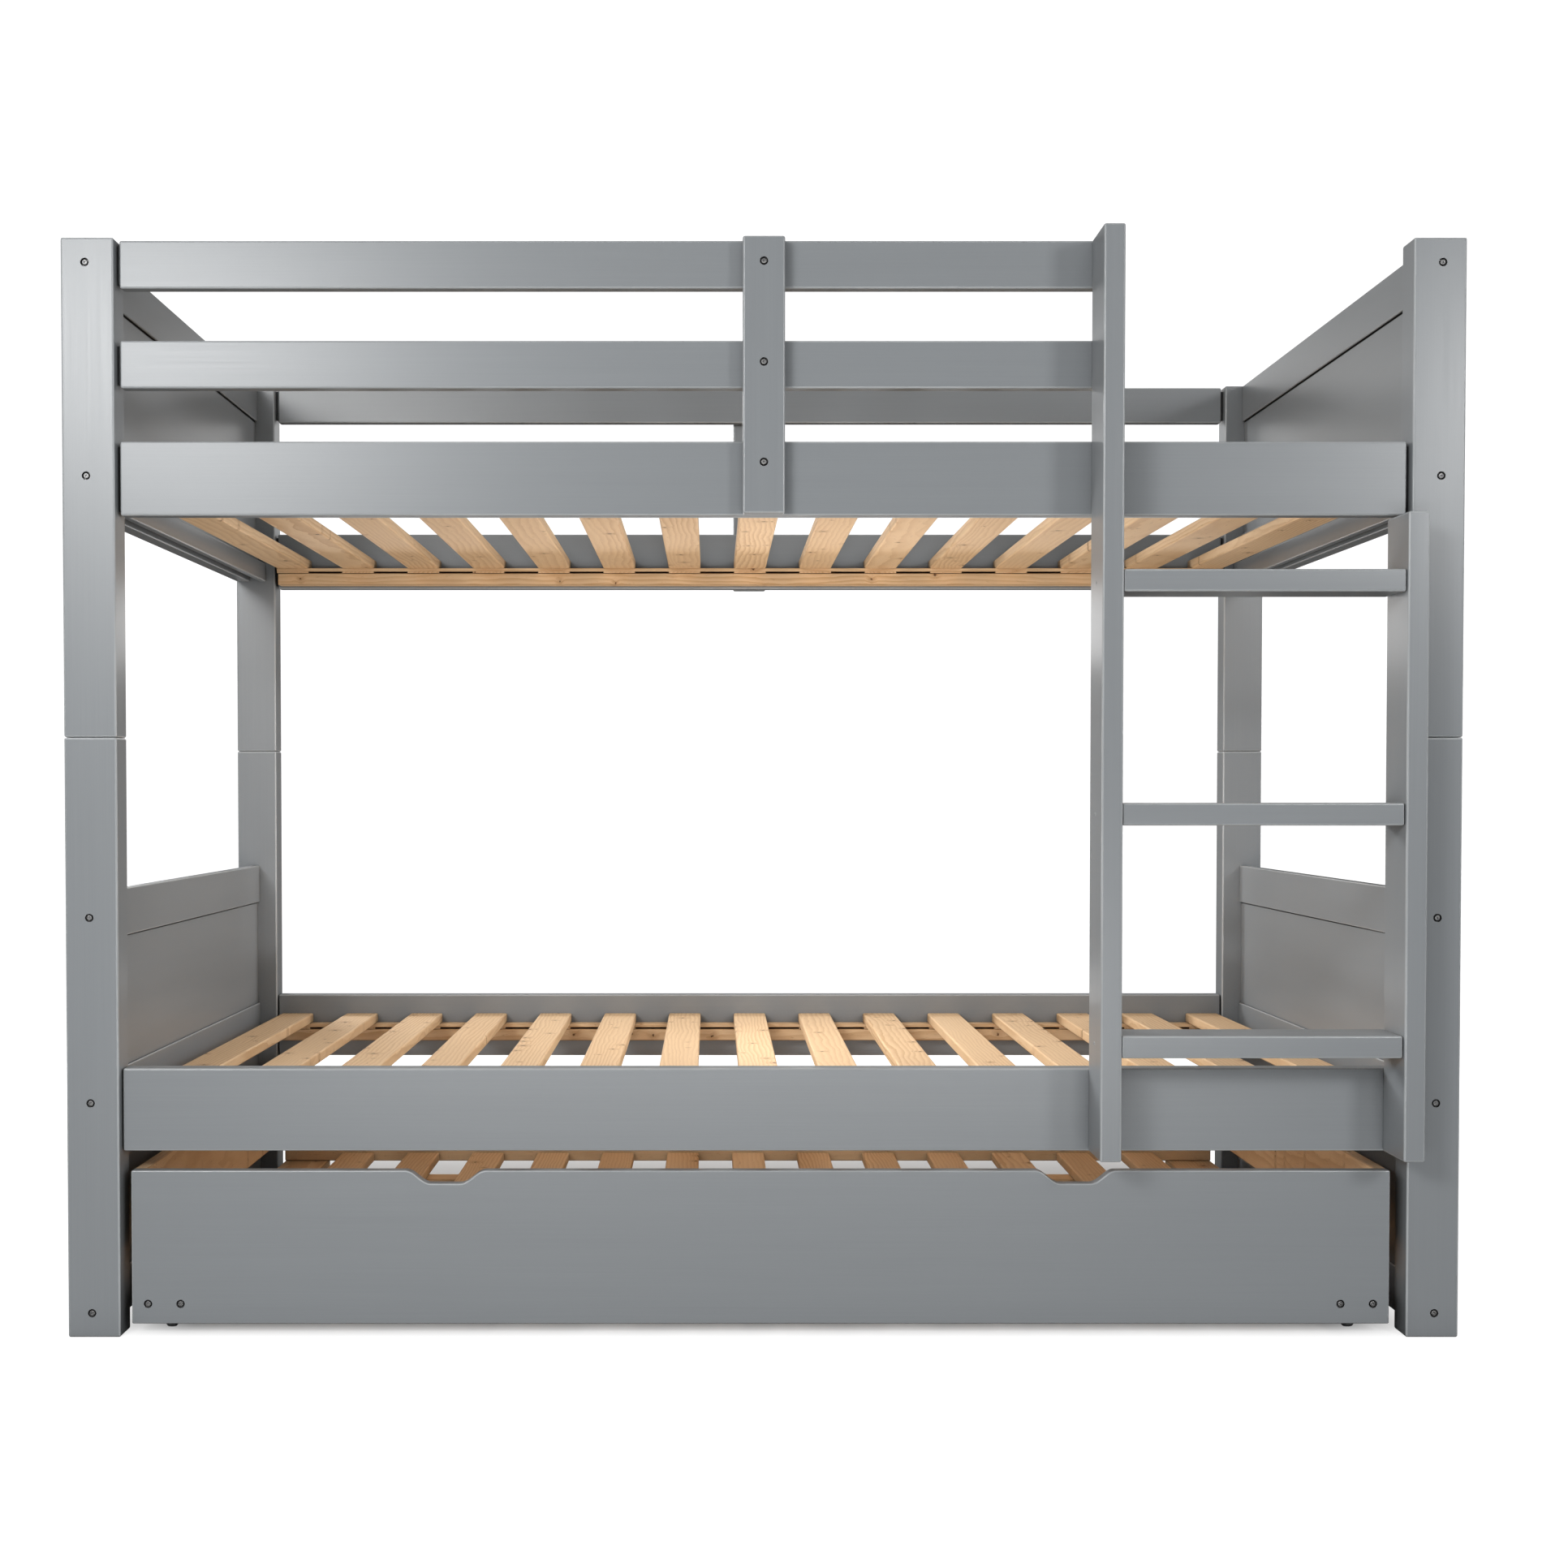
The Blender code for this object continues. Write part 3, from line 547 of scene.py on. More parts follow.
def wheel_plastic():
    """Dark moulded plastic with a fine skin and a scuffed tread."""
    finish, tree, shader = new_finish("wheel_plastic")
    where = add_node(tree, "ShaderNodeTexCoord").outputs["Object"]
    skin = noise(tree, where, 1500.0, 2.0)
    scuffs = noise(tree, where, 90.0, 4.0, 0.7)
    colour = mix_colour(tree, ramp(tree, scuffs, 0.45, 0.75, 0.0, 0.6), plastic_dark,
                        plastic_scuffed)
    tree.links.new(colour, shader.inputs["Base Color"])
    tree.links.new(ramp(tree, scuffs, 0.3, 0.8, 0.42, 0.68), shader.inputs["Roughness"])
    tree.links.new(bump(tree, skin, 0.00008, 0.6), shader.inputs["Normal"])
    return finish


PAINT = {axis: grey_paint(axis) for axis in "xyz"}
PINE = {axis: pine(axis) for axis in "xyz"}
STEEL = bright_steel()
PLASTIC = wheel_plastic()


# Bolts: one list gives the pockets and the heads

def bolt_places():
    """Every bolt as (the piece that holds it, the middle of its pocket's mouth, its facing)."""
    places = []
    for row, facing in ROWS.items():
        for side, sign in SIDES.items():
            places += post_bolts(row, side, sign, facing)
    for row, facing in ROWS.items():
        node = row + "_brace"
        face_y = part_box(node)[0 if facing < 0 else 1][1]
        heights = (middle_of("guard_top_" + row)[2] - brace_bolt_drop,
                   middle_of("guard_middle_" + row)[2] - brace_bolt_drop,
                   middle_of("upper_side_rail_" + row)[2] + brace_foot_bolt_rise)
        places += [(node, (0.0, face_y, z), (0, facing, 0)) for z in heights]
    face_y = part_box("trundle_front_panel")[0][1]
    for side in SIDES:
        x, _, z = middle_of("trundle_runner_beam_" + side)
        places += [("trundle_front_panel", (x + step, face_y, z + beam_bolt_rise), (0, -1, 0))
                   for step in (-beam_bolt_step, beam_bolt_step)]
    return places


def post_bolts(row, side, sign, facing):
    """The bolts of one corner: into the ends through the face, into the boards from outside."""
    label = row + "_" + side
    upper = "upper_post_" + label
    lower = "lower_post_" + label
    face_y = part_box(upper)[0 if facing < 0 else 1][1]
    face_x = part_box(upper)[0 if sign < 0 else 1][0]
    bolt_x = middle_of("upper_end_top_rail_" + side)[0] - sign * end_bolt_inward
    rails = ((upper, "upper_end_top_rail_", 0.0),
             (upper, "upper_end_bottom_rail_", channel_bolt_drop),
             (lower, "lower_end_top_rail_", 0.0), (lower, "lower_end_middle_rail_", 0.0),
             (lower, "lower_end_bottom_rail_", 0.0))
    places = [(post, (bolt_x, face_y, middle_of(rail + side)[2] - drop), (0, facing, 0))
              for post, rail, drop in rails]
    boards = [(lower, "lower_side_rail_", (-lower_rail_bolt_step, lower_rail_bolt_step)),
              (upper, "upper_side_rail_", (-upper_rail_bolt_step, upper_rail_bolt_step))]
    if facing > 0 or sign < 0:
        boards += [(upper, "guard_top_", (-guard_bolt_drop,)),
                   (upper, "guard_middle_", (-guard_bolt_drop,))]
    for post, board, steps in boards:
        _, y, z = middle_of(board + row)
        places += [(post, (face_x, y, z + step), (sign, 0, 0)) for step in steps]
    return places


BOLTS = bolt_places()


def cut_pockets(piece, node):
    """Cuts the bolt pockets of one piece, with their chamfered mouths."""
    mine = [(place, facing) for holder, place, facing in BOLTS if holder == node]
    if not mine:
        return
    shape = bmesh.new()
    for place, facing in mine:
        rings = ((pocket_radius, -pocket_depth, 0), (pocket_radius, -mouth_depth, 0),
                 (mouth_radius, 0.0, 0), (mouth_radius, mouth_depth, 0))
        add_turned(shape, rings, pocket_sides, place, facing)
    cut_away(piece, cutter_from(node + "_pocket_cutter", shape))


def head_shape():
    """A socket head of unit diameter that stands on the origin and faces +Z."""
    shape = bmesh.new()
    top = head_height_share
    rings = ((0.44, 0.0, 0), (0.50, 0.05, 0), (0.50, top - 0.08, 0), (0.46, top - 0.02, 0),
             (0.40, top, 0), (0.19, top, 6), (0.17, top - 0.02, 6), (0.17, top - 0.30, 6))
    add_turned(shape, rings, head_sides, (0, 0, 0), (0, 0, 1))
    return shape


def new_tree(name, inputs, output):
    """A node tree with named inputs, as (name, kind, usual value), and one output."""
    tree = bpy.data.node_groups.new(name, "GeometryNodeTree")
    for label, kind, value in inputs:
        socket = tree.interface.new_socket(label, in_out="INPUT", socket_type="NodeSocket" + kind)
        if value is not None:
            socket.default_value = value
    tree.interface.new_socket(output, in_out="OUTPUT", socket_type="NodeSocketGeometry")
    return tree, add_node(tree, "NodeGroupInput").outputs


def fastener_tree():
    """Sets one head on every point, turned to face the point's way."""
    inputs = (("Places", "Geometry", None), ("Head", "Object", None),
              ("Head diameter", "Float", head_diameter), ("Seed", "Int", 3),
              ("Finish", "Material", None))
    tree, given = new_tree("heads_on_points", inputs, "Heads")
    head = add_node(tree, "GeometryNodeObjectInfo", {"Object": given["Head"]})
    facing = add_node(tree, "GeometryNodeInputNamedAttribute", {"Name": "facing"},
                      data_type="FLOAT_VECTOR")
    turned = add_node(tree, "FunctionNodeAlignRotationToVector",
                      {"Vector": facing.outputs["Attribute"]}, axis="Z")
    set_on = add_node(tree, "GeometryNodeInstanceOnPoints",
                      {"Points": given["Places"], "Instance": head.outputs["Geometry"],
                       "Rotation": turned.outputs[0], "Scale": given["Head diameter"]})
    angle = add_node(tree, "FunctionNodeRandomValue", {"Seed": given["Seed"]}, data_type="FLOAT")
    spin = add_node(tree, "ShaderNodeCombineXYZ",
                    {"Z": math_node(tree, "MULTIPLY", angle.outputs[1], head_turn)})
    spun = add_node(tree, "GeometryNodeRotateInstances",
                    {"Instances": set_on.outputs[0], "Rotation": spin.outputs[0]})
    real = add_node(tree, "GeometryNodeRealizeInstances", {"Geometry": spun.outputs[0]})
    done = add_node(tree, "GeometryNodeSetMaterial",
                    {"Geometry": real.outputs[0], "Material": given["Finish"]})
    add_node(tree, "NodeGroupOutput", {"Heads": done.outputs[0]})
    return tree


def set_inputs(modifier, values):
    """Sets a node tree's named inputs by their identifiers."""
    for item in modifier.node_group.interface.items_tree:
        if item.item_type == "SOCKET" and item.in_out == "INPUT" and item.name in values:
            modifier[item.identifier] = values[item.name]


HEAD = piece_from("bolt_head", head_shape(), STEEL)
HEAD.hide_render = True
HEADS_ON_POINTS = fastener_tree()


def make_heads(name, places, diameter, finish, body, slot):
    """Heads at places, given as (the head's foot, its facing)."""
    mesh = bpy.data.meshes.new(name)
    mesh.from_pydata([place for place, facing in places], [], [])
    facings = mesh.attributes.new("facing", "FLOAT_VECTOR", "POINT")
    for index, (place, facing) in enumerate(places):
        facings.data[index].vector = facing
    mesh.materials.append(finish)
    piece = bpy.data.objects.new(name, mesh)
    bpy.context.scene.collection.objects.link(piece)
    step = piece.modifiers.new("heads", "NODES")
    step.node_group = HEADS_ON_POINTS
    set_inputs(step, {"Head": HEAD, "Head diameter": diameter, "Finish": finish})
    wait_for_finish(piece, body, slot, ())


def sunk(place, facing, depth):
    """A place moved inward, against its facing."""
    return tuple(a - b * depth for a, b in zip(place, facing))


def make_bolts():
    """The bolt heads, at the bottoms of their pockets."""
    groups = {"bed_frame": [], "trundle": []}
    for holder, place, facing in BOLTS:
        body = "trundle" if holder.startswith("trundle") else "bed_frame"
        groups[body].append((sunk(place, facing, pocket_depth), facing))
    make_heads("frame_bolts", groups["bed_frame"], head_diameter, STEEL, "bed_frame", "steel")
    make_heads("trundle_bolts", groups["trundle"], head_diameter, STEEL, "trundle", "steel")


# Painted pieces

def painted_board(node, grain_axis, rounding, tenons=(0.0, 0.0), body="bed_frame"):
    """One painted board in the place of its node, with its tenons and bolt pockets."""
    low, high = [list(corner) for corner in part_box(node)]
    low[0] += tenons[0]
    high[0] -= tenons[1]
    shape = rounded_board(low, high, rounding)
    for length, end_x, sign in ((tenons[0], low[0], -1), (tenons[1], high[0], 1)):
        if length:
            reach = sorted((end_x - sign * tenon_sunk, end_x + sign * length))
            add_block(shape, (reach[0], low[1] + tenon_inset, low[2] + tenon_inset),
                      (reach[1], high[1] - tenon_inset, high[2] - tenon_inset))
    piece = piece_from("painted_" + node, shape, PAINT[grain_axis])
    cut_pockets(piece, node)
    return wait_for_finish(piece, body, "grey_paint", (node,))


def make_posts():
    """Two posts in every corner, one on the other."""
    for row in ROWS:
        for side in SIDES:
            painted_board("upper_post_%s_%s" % (row, side), "z", post_rounding)
            painted_board("lower_post_%s_%s" % (row, side), "z", post_rounding)


def make_long_boards():
    """The guards, the side rails and the braces of both rows."""
    for row, facing in ROWS.items():
        guard_tenons = (guard_tenon, 0.0 if facing < 0 else guard_tenon)
        boards = (("guard_top_", guard_tenons), ("guard_middle_", guard_tenons),
                  ("upper_side_rail_", (upper_rail_tenon, upper_rail_tenon)),
                  ("lower_side_rail_", (lower_rail_tenon, lower_rail_tenon)))
        for board, tenons in boards:
            painted_board(board + row, "x", board_rounding, tenons)
        painted_board(row + "_brace", "z", board_rounding)


def make_ladder():
    """Two stiles and three rungs, with the painted screws that hold the rungs."""
    painted_board("ladder_stile_left", "z", board_rounding)
    painted_board("ladder_stile_right", "z", board_rounding)
    left_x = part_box("ladder_stile_left")[0][0]
    right_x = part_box("ladder_stile_right")[1][0]
    places = []
    for index in (1, 2, 3):
        node = "ladder_rung_%d" % index
        painted_board(node, "x", board_rounding)
        x, y, z = middle_of(node)
        places += [((left_x + rung_screw_sunk, y, z), (-1, 0, 0)),
                   ((right_x - rung_screw_sunk, y, z), (1, 0, 0))]
    make_heads("rung_screws", places, rung_screw_diameter, PAINT["z"], "bed_frame", "grey_paint")


def groove_cutter(panel, low_z, high_z):
    """The slot in a rail that an end panel stands in."""
    (low_x, low_y, _), (high_x, high_y, _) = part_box(panel)
    extra = (groove_width - (high_x - low_x)) / 2
    shape = bmesh.new()
    add_block(shape, (low_x - extra, low_y - cutter_overrun, low_z),
              (high_x + extra, high_y + cutter_overrun, high_z))
    return cutter_from(panel + "_groove_cutter", shape)


def cut_seam(piece, panel, rail):
    """Cuts the shadow line along both faces of a panel, under its rail."""
    (low_x, low_y, _), (high_x, high_y, _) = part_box(panel)
    rail_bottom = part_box(rail)[0][2]
    shape = bmesh.new()
    for face_x, inward in ((low_x, 1), (high_x, -1)):
        reach = sorted((face_x - inward * cutter_overrun, face_x + inward * seam_depth))
        add_block(shape, (reach[0], low_y - cutter_overrun, rail_bottom - seam_height),
                  (reach[1], high_y + cutter_overrun, rail_bottom + seam_height))
    cut_away(piece, cutter_from(panel + "_seam_cutter", shape))


def make_end_rail(node, panel_above, panel_below):
    """A rail of an end, grooved for the panels that stand on it or hang below it."""
    piece = painted_board(node, "y", end_rounding)
    (_, _, bottom), (_, _, top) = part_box(node)
    if panel_above:
        cut_away(piece, groove_cutter(panel_above, top - groove_depth, top + cutter_overrun))
    if panel_below:
        cut_away(piece, groove_cutter(panel_below, bottom - cutter_overrun, bottom + groove_depth))


def make_channel_rail(side, sign):
    """The rail at the foot of an upper end: a lip inside, a groove below, a wide back."""
    node = "upper_end_bottom_rail_" + side
    low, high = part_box(node)
    width = high[0] - low[0]
    height = high[2] - low[2]
    section = ((0.0, 0.0), (channel_lip_width, 0.0), (channel_lip_width, channel_groove_height),
               (channel_groove_end, channel_groove_height), (channel_groove_end, 0.0),
               (width, 0.0), (width, height), (channel_step_width, height),
               (channel_step_width, channel_step_height), (0.0, channel_step_height))
    inner = low[0] if sign > 0 else high[0]
    shape = prism([(inner + sign * x, low[2] + z) for x, z in section], low[1], high[1])
    round_edges(shape, shape.edges, end_rounding)
    piece = piece_from("painted_" + node, shape, PAINT["y"])
    cut_away(piece, groove_cutter("upper_end_panel_" + side, high[2] - groove_depth,
                                  high[2] + cutter_overrun))
    wait_for_finish(piece, "bed_frame", "grey_paint", (node,))


def make_ends():
    """The closed ends: rails, panels and the shadow lines under the top rails."""
    for side, sign in SIDES.items():
        upper_panel = "upper_end_panel_" + side
        middle_panel = "lower_end_upper_panel_" + side
        foot_panel = "lower_end_lower_panel_" + side
        make_end_rail("upper_end_top_rail_" + side, None, upper_panel)
        make_channel_rail(side, sign)
        make_end_rail("lower_end_top_rail_" + side, None, middle_panel)
        make_end_rail("lower_end_middle_rail_" + side, middle_panel, foot_panel)
        make_end_rail("lower_end_bottom_rail_" + side, foot_panel, None)
        for node, rail in ((upper_panel, "upper_end_top_rail_" + side),
                           (middle_panel, "lower_end_top_rail_" + side), (foot_panel, None)):
            piece = painted_board(node, "y", panel_rounding)
            if rail:
                cut_seam(piece, node, rail)
                shadow_lines[node] = (middle_of(node)[0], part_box(rail)[0][2])


# Trundle front with its two hand cut-outs

def grip_outline(centre_x, top):
    """The rim of one cut-out as (x, z) places, from left to right."""
    run = (grip_width - grip_floor_width) / 2
    steps = [index / grip_steps for index in range(grip_steps + 1)]
    side = [(run * step, grip_depth * (1 - math.cos(math.pi * step)) / 2) for step in steps]
    left = [(centre_x - grip_width / 2 + x, top - drop) for x, drop in side]
    right = [(2 * centre_x - x, z) for x, z in reversed(left)]
    return left + right


def make_trundle_front():
    """The painted front of the trundle, cut out for two hands."""
    node = "trundle_front_panel"
    low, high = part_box(node)
    centre_x = middle_of(node)[0]
    outline = [(low[0], low[2]), (low[0], high[2])]
    outline += grip_outline(centre_x - grip_spread, high[2])
    outline += grip_outline(centre_x + grip_spread, high[2])
    outline += [(high[0], high[2]), (high[0], low[2])]
    shape = prism(outline, low[1], high[1])
    rims = [edge for edge in shape.edges if edge.calc_face_angle() > sharp_rim]
    round_edges(shape, rims, trundle_rounding)
    piece = piece_from("painted_" + node, shape, PAINT["x"])
    cut_pockets(piece, node)
    wait_for_finish(piece, "trundle", "grey_paint", (node,), "y")


# Pine pieces

def pine_board(node, grain_axis, body):
    """One pine board in the place of its node."""
    low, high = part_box(node)
    piece = piece_from("pine_" + node, rounded_board(low, high, pine_rounding), PINE[grain_axis])
    return wait_for_finish(piece, body, "pine", (node,))


def make_ledges():
    """The ledges on the side rails that carry the slat bases."""
    for level in ("upper", "lower"):
        for row in ROWS:
            pine_board("%s_slat_ledge_%s" % (level, row), "x", "bed_frame")


def board_row_tree():
    """A row of equal rounded boards along X, each with its own grain and tone."""
    inputs = (("Carrier parts", "Geometry", None), ("Board count", "Int", slat_count),
              ("First place", "Vector", None), ("Pitch", "Float", slat_pitch),
              ("Board width", "Float", slat_width), ("Board length", "Float", usual_slat_length),
              ("Board thickness", "Float", slat_thickness),
              ("Edge rounding", "Float", slat_rounding), ("Seed", "Int", 1),
              ("Finish", "Material", None))
    tree, given = new_tree("row_of_boards", inputs, "Boards")
    section = add_node(tree, "GeometryNodeCurvePrimitiveQuadrilateral",
                       {"Width": given["Board width"], "Height": given["Board thickness"]})
    rounded = add_node(tree, "GeometryNodeFilletCurve",
                       {"Curve": section.outputs[0], "Radius": given["Edge rounding"],
                        "Count": rounding_steps}, mode="POLY")
    end = add_node(tree, "ShaderNodeCombineXYZ", {"Y": given["Board length"]})
    length = add_node(tree, "GeometryNodeCurvePrimitiveLine", {"End": end.outputs[0]})
    board = add_node(tree, "GeometryNodeCurveToMesh",
                     {"Curve": length.outputs[0], "Profile Curve": rounded.outputs[0],
                      "Fill Caps": True})
    step = add_node(tree, "ShaderNodeCombineXYZ", {"X": given["Pitch"]})
    line = add_node(tree, "GeometryNodeMeshLine",
                    {"Count": given["Board count"], "Start Location": given["First place"],
                     "Offset": step.outputs[0]})
    laid = add_node(tree, "GeometryNodeInstanceOnPoints",
                    {"Points": line.outputs[0], "Instance": board.outputs[0]})
    tone = add_node(tree, "FunctionNodeRandomValue",
                    {2: -1.0, 3: 1.0, "Seed": given["Seed"]}, data_type="FLOAT")
    toned = add_node(tree, "GeometryNodeStoreNamedAttribute",
                     {"Geometry": laid.outputs[0], "Name": "tone", "Value": tone.outputs[1]},
                     data_type="FLOAT", domain="INSTANCE")
    shift = add_node(tree, "FunctionNodeRandomValue",
                     {0: [-far for far in grain_shift], 1: grain_shift, "Seed": given["Seed"]},
                     data_type="FLOAT_VECTOR")
    shifted = add_node(tree, "GeometryNodeStoreNamedAttribute",
                       {"Geometry": toned.outputs[0], "Name": "shift", "Value": shift.outputs[0]},
                       data_type="FLOAT_VECTOR", domain="INSTANCE")
    real = add_node(tree, "GeometryNodeRealizeInstances", {"Geometry": shifted.outputs[0]})
    finished = add_node(tree, "GeometryNodeSetMaterial",
                        {"Geometry": real.outputs[0], "Material": given["Finish"]})
    both = add_node(tree, "GeometryNodeJoinGeometry")
    tree.links.new(finished.outputs[0], both.inputs[0])
    tree.links.new(given["Carrier parts"], both.inputs[0])
    add_node(tree, "NodeGroupOutput", {"Boards": both.outputs[0]})
    return tree


ROW_OF_BOARDS = board_row_tree()


def add_row(piece, first, count, width, length, thickness, rounding, seed):
    """Adds a row of boards along X to a piece."""
    step = piece.modifiers.new("row", "NODES")
    step.node_group = ROW_OF_BOARDS
    set_inputs(step, {"First place": first, "Board count": count, "Board width": width,
                      "Board length": length, "Board thickness": thickness,
                      "Edge rounding": rounding, "Seed": seed, "Finish": PINE["y"]})


def make_slat_base(level):
    """The slats of one bunk on two notched carrier strips."""
    node = level + "_slat_base"
    low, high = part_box(node)
    seed = slat_seeds[level]
    bar_top = high[2] - slat_thickness
    bar_bottom = bar_top - carrier_bar_height
    shape = bmesh.new()
    strips = []
    for row, facing in ROWS.items():
        (_, low_y, _), (_, high_y, _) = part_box("%s_slat_ledge_%s" % (level, row))
        strips.append((low_y + (carrier_gap if facing < 0 else 0.0),
                       high_y - (carrier_gap if facing > 0 else 0.0)))
    for low_y, high_y in strips:
        add_rounded(shape, (low[0], low_y, bar_bottom), (high[0], high_y, bar_top + bar_overlap),
                    carrier_rounding)
    piece = piece_from("pine_" + node, shape, PINE["x"])
    first_x = -slat_pitch * (slat_count - 1) / 2
    add_row(piece, (first_x, low[1], high[2] - slat_thickness / 2), slat_count, slat_width,
            high[1] - low[1], slat_thickness, slat_rounding, seed)
    foot_height = carrier_foot_height + carrier_foot_overlap
    for index, (low_y, high_y) in enumerate(strips):
        place = (first_x, low_y + carrier_foot_inset, low[2] + foot_height / 2)
        add_row(piece, place, slat_count, carrier_foot_width,
                high_y - low_y - 2 * carrier_foot_inset, foot_height, carrier_foot_rounding,
                seed + foot_seed_step + index)
    wait_for_finish(piece, "bed_frame", "pine", (node,))


def make_trundle_slats():
    """The trundle's slats on two bearers."""
    node = "trundle_slat_base"
    low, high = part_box(node)
    bar_top = high[2] - slat_thickness
    shape = bmesh.new()
    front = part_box("trundle_front_panel")[1][1] + bearer_inset
    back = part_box("trundle_back_panel")[0][1] - bearer_inset
    for low_y in (front, back - bearer_width):
        add_rounded(shape, (low[0], low_y, low[2]),
                    (high[0], low_y + bearer_width, bar_top + bar_overlap), pine_rounding)
    piece = piece_from("pine_" + node, shape, PINE["x"])
    first_x = (low[0] + high[0]) / 2 - slat_pitch * (trundle_slat_count - 1) / 2
    add_row(piece, (first_x, low[1], high[2] - slat_thickness / 2), trundle_slat_count, slat_width,
            high[1] - low[1], slat_thickness, slat_rounding, slat_seeds["trundle"])
    wait_for_finish(piece, "trundle", "pine", (node,))


def make_runner_beam(side):
    """A beam with a wheel slot at each end, and its two steel axles."""
    node = "trundle_runner_beam_" + side
    low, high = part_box(node)
    centre_x = middle_of(node)[0]
    piece = pine_board(node, "y", "trundle")
    slots = bmesh.new()
    axles = bmesh.new()
    for row, facing in ROWS.items():
        wheel_low, wheel_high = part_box("trundle_wheel_%s_%s" % (row, side))
        wheel_y = (wheel_low[1] + wheel_high[1]) / 2
        radius = (wheel_high[2] - wheel_low[2]) / 2
        reach = sorted((wheel_y - facing * (radius + wheel_slot_room),
                        (low[1] if facing < 0 else high[1]) + facing * cutter_overrun))
        add_block(slots, (centre_x - wheel_slot_half_width, reach[0], low[2] - cutter_overrun),
                  (centre_x + wheel_slot_half_width, reach[1], wheel_slot_top))
        tip = (axle_radius - axle_chamfer, axle_half_length)
        shoulder = (axle_radius, axle_half_length - axle_chamfer)
        rings = ((tip[0], -tip[1], 0), (shoulder[0], -shoulder[1], 0), (*shoulder, 0), (*tip, 0))
        add_turned(axles, rings, axle_sides, (centre_x, wheel_y, radius), (1, 0, 0))
    cut_away(piece, cutter_from(node + "_slot_cutter", slots))
    wait_for_finish(piece_from("axles_" + side, axles, STEEL), "trundle", "steel", ())


def make_wheel(row, side):
    """A moulded wheel with a crowned tread, dished sides and a hub."""
    node = "trundle_wheel_%s_%s" % (row, side)
    low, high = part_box(node)
    half = (high[0] - low[0]) / 2
    radius = (high[2] - low[2]) / 2
    section = [(reach, depth - half) for reach, depth in wheel_side]
    section += [(radius - drop, depth - half) for drop, depth in wheel_shoulder]
    section.append((radius, -half * wheel_crown_share))
    rings = [(r, along, 0) for r, along in section]
    rings += [(r, -along, 0) for r, along in reversed(section)]
    shape = bmesh.new()
    add_turned(shape, rings, wheel_sides, middle_of(node), (1, 0, 0), closed=True)
    piece = piece_from("moulded_" + node, shape, PLASTIC)
    wait_for_finish(piece, "wheel_%s_%s" % (row, side), "wheel_plastic", (node,))


def make_trundle():
    """All of the bed that rolls out."""
    make_trundle_front()
    pine_board("trundle_back_panel", "x", "trundle")
    for side in SIDES:
        pine_board("trundle_side_board_" + side, "y", "trundle")
        make_runner_beam(side)
        for row in ROWS:
            make_wheel(row, side)
    make_trundle_slats()


# Last step of every piece

def mark_edges(mesh, flat_axis):
    """Writes 1 on the points of the rounded edges and 0 on those of the flat faces."""
    flat = [0.0] * len(mesh.vertices)
    for face in mesh.polygons:
        straight = max(abs(part) for part in face.normal) > flat_face
        if flat_axis and abs(face.normal["xyz".index(flat_axis)]) < beside_axis:
            straight = True
        if straight:
            for index in face.vertices:
                flat[index] = 1.0
    marks = mesh.attributes.new("edge", "FLOAT", "POINT")
    marks.data.foreach_set("value", [1.0 - value for value in flat])


def mark_hole_shade(mesh, nodes):
    """Writes 1 on the points inside bolt pockets and shadow lines, where the colour is painted
    near-black as painted shade.
    """
    mouths = [(Vector(place), Vector(facing)) for holder, place, facing in BOLTS if holder in nodes]
    lines = [shadow_lines[node] for node in nodes if node in shadow_lines]
    values = [0.0] * len(mesh.vertices)
    for vert in mesh.vertices:
        for middle_x, line_z in lines:
            if (abs(vert.co.z - line_z) < seam_height * seam_mark_slack
                    and abs(vert.co.x - middle_x) < seam_mark_reach):
                values[vert.index] = 1.0
        for place, facing in mouths:
            step = vert.co - place
            depth = -step.dot(facing)
            if depth > mouth_depth / 2 and (step + facing * depth).length < mouth_radius:
                values[vert.index] = 1.0
    mesh.attributes.new("hole", "FLOAT", "POINT").data.foreach_set("value", values)


def mark_board(mesh, name):
    """Gives a mesh its own grain shift and tone, where it has none yet."""
    chance = random.Random(name)
    shift = [chance.uniform(-far, far) for far in grain_shift]
    tone = chance.uniform(-1.0, 1.0)
    if "tone" in mesh.attributes:
        return
    count = len(mesh.vertices)
    tones = mesh.attributes.new("tone", "FLOAT", "POINT")
    tones.data.foreach_set("value", [tone] * count)
    shifts = mesh.attributes.new("shift", "FLOAT_VECTOR", "POINT")
    shifts.data.foreach_set("vector", shift * count)


def finish_pieces():
    """Applies all modifiers in one pass, then hands each piece to its body."""
    for entry in waiting:
        entry[0].modifiers.new("even_shading", "WEIGHTED_NORMAL").keep_sharp = True
    tools = bpy.context.evaluated_depsgraph_get()
    meshes = [bpy.data.meshes.new_from_object(entry[0].evaluated_get(tools)) for entry in waiting]
    for (piece, _, _, nodes, flat_axis), mesh in zip(waiting, meshes):
        piece.modifiers.clear()
        piece.data = mesh
        mesh.name = piece.name
        mark_edges(mesh, flat_axis)
        mark_hole_shade(mesh, nodes)
        mark_board(mesh, piece.name)
    for helper in [item for item in bpy.data.objects if item.name.endswith("_cutter")] + [HEAD]:
        bpy.data.objects.remove(helper, do_unlink=True)
    for piece, body, slot, nodes, _ in waiting:
        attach(piece, body)
        if nodes:
            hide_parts(*nodes)


# Studio

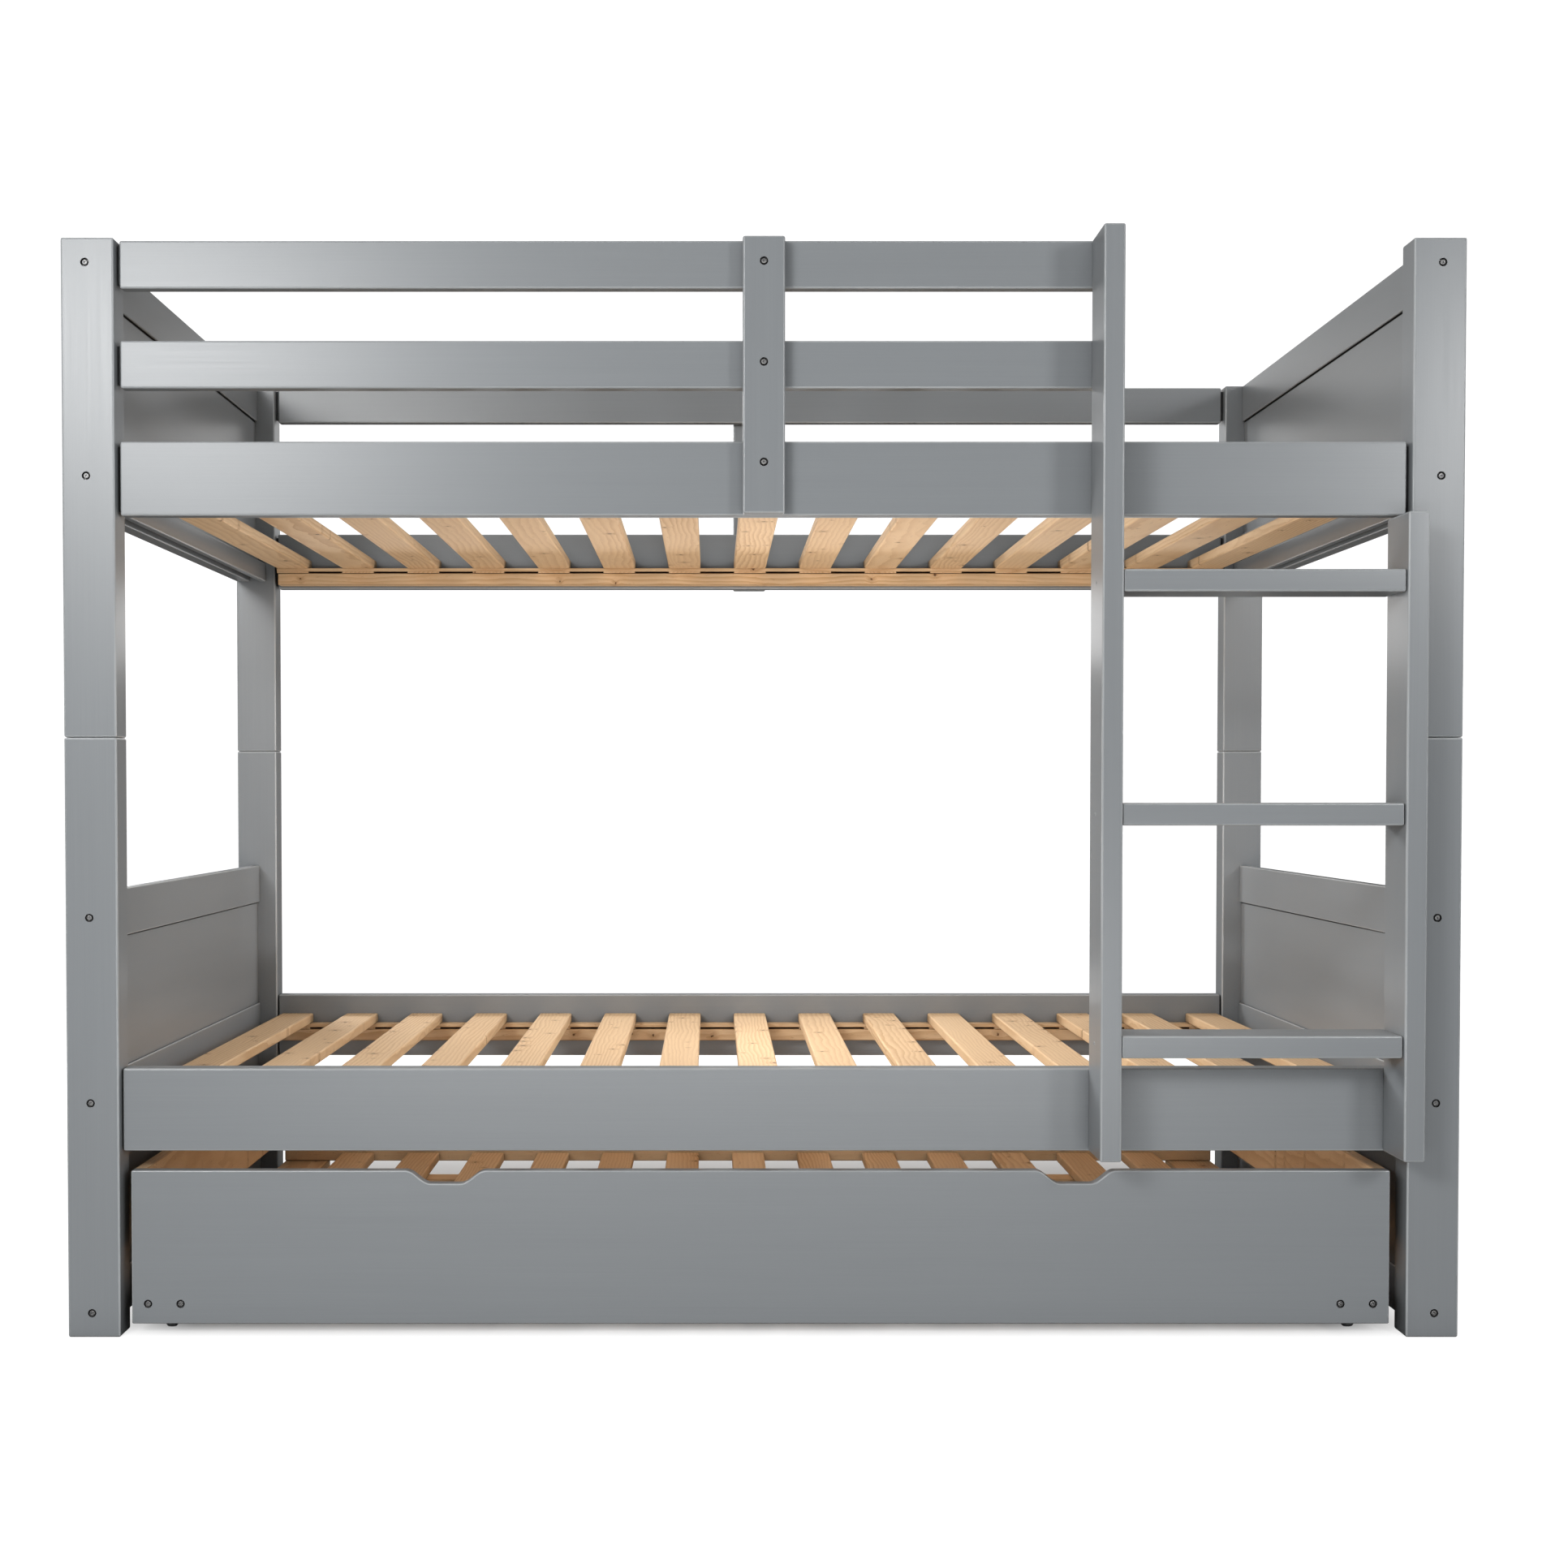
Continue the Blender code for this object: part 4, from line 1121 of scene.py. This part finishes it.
def make_camera():
    """The photo's view, fitted to measured edges of the bed."""
    data = bpy.data.cameras.new("camera")
    data.lens = 40.99
    data.sensor_width = 36.0
    data.shift_x = 0.0461
    data.shift_y = 0.0277
    camera = bpy.data.objects.new("camera", data)
    camera.location = (-0.0740, -3.01515, 0.7879)
    camera.rotation_euler = (math.radians(88.795), 0.0, 0.0)
    bpy.context.scene.collection.objects.link(camera)
    bpy.context.scene.camera = camera


def make_softbox(name, place, aim, width, height, power):
    """One soft light, which the camera doesn't see itself."""
    data = bpy.data.lights.new(name, "AREA")
    data.shape = "RECTANGLE"
    data.size = width
    data.size_y = height
    data.energy = power
    light = bpy.data.objects.new(name, data)
    light.location = place
    light.rotation_euler = (Vector(aim) - Vector(place)).to_track_quat("-Z", "Y").to_euler()
    light.visible_camera = False
    bpy.context.scene.collection.objects.link(light)


def make_floor():
    """A pale floor that glows for the camera; its glow is lower near the bed and cut under the bed
    and right behind it, as painted shade.
    """
    shape = bmesh.new()
    shape.faces.new([shape.verts.new((x, y, 0.0)) for x, y in floor_corners])
    finish, tree, shader = new_finish("studio_floor")
    where = add_node(tree, "ShaderNodeTexCoord").outputs["Object"]
    away = add_node(tree, "ShaderNodeVectorMath", {0: where}, operation="LENGTH").outputs["Value"]
    shader.inputs["Base Color"].default_value = (0.45, 0.45, 0.45, 1.0)
    shader.inputs["Roughness"].default_value = 0.9
    shader.inputs["Specular IOR Level"].default_value = 0.0
    shader.inputs["Emission Color"].default_value = (1.0, 1.0, 1.0, 1.0)
    # Painted shade: the glow is lower near the bed and rises to white farther away
    glow = ramp(tree, away, 1.6, 5.0, 0.84, 1.05, True)
    # Painted shadow: the glow is cut to a small share under the bed and fades out behind it
    parts = add_node(tree, "ShaderNodeSeparateXYZ", {0: where}).outputs
    beside = ramp(tree, math_node(tree, "ABSOLUTE", parts["X"]), 0.82, 1.00, 1.0, 0.0, True)
    inward = ramp(tree, parts["Y"], -0.47, -0.38, 0.0, 1.0, True)
    behind = ramp(tree, parts["Y"], 0.55, 1.30, 1.0, 0.0, True)
    under = math_node(tree, "MULTIPLY", beside, math_node(tree, "MULTIPLY", inward, behind))
    glow = math_node(tree, "MULTIPLY", glow, ramp(tree, under, 0.0, 1.0, 1.0, glow_left_in_painted_shadow))
    direct = add_node(tree, "ShaderNodeLightPath").outputs["Is Camera Ray"]
    tree.links.new(math_node(tree, "MULTIPLY", glow, direct), shader.inputs["Emission Strength"])
    floor = piece_from("studio_floor", shape, finish)
    floor.visible_glossy = False


def make_world():
    """White all round for the camera, and soft light from above and from the front."""
    world = bpy.data.worlds.new("studio")
    world.use_nodes = True
    tree = world.node_tree
    back = tree.nodes["Background"]
    back.inputs["Color"].default_value = (1.0, 1.0, 1.0, 1.0)
    where = add_node(tree, "ShaderNodeTexCoord").outputs["Generated"]
    parts = add_node(tree, "ShaderNodeSeparateXYZ", {0: where}).outputs
    glow = math_node(tree, "ADD", ramp(tree, parts["Z"], -0.05, 0.35, 0.0, 0.17, True),
                     ramp(tree, parts["Y"], -0.6, 0.0, 0.14, 0.0, True))
    direct = add_node(tree, "ShaderNodeLightPath").outputs["Is Camera Ray"]
    strength = add_node(tree, "ShaderNodeMix", {0: direct, 2: glow, 3: 1.1}).outputs[0]
    tree.links.new(strength, back.inputs["Strength"])
    bpy.context.scene.world = world


def make_studio():
    """Camera, world, floor and lights."""
    scene = bpy.context.scene
    scene.view_settings.view_transform = "Standard"
    scene.cycles.use_denoising = True
    make_camera()
    make_world()
    make_floor()
    for light in LIGHTS:
        make_softbox(*light)


def finish_pins():
    """The steel pins keep their nodes and only take their finish."""
    for row in ROWS:
        for side in SIDES:
            pin = frame["nodes"]["post_pin_%s_%s" % (row, side)]
            pin.data.materials.clear()
            pin.data.materials.append(STEEL)


finish_pins()
make_posts()
make_long_boards()
make_ladder()
make_ends()
make_ledges()
make_slat_base("upper")
make_slat_base("lower")
make_trundle()
make_bolts()
finish_pieces()
make_studio()
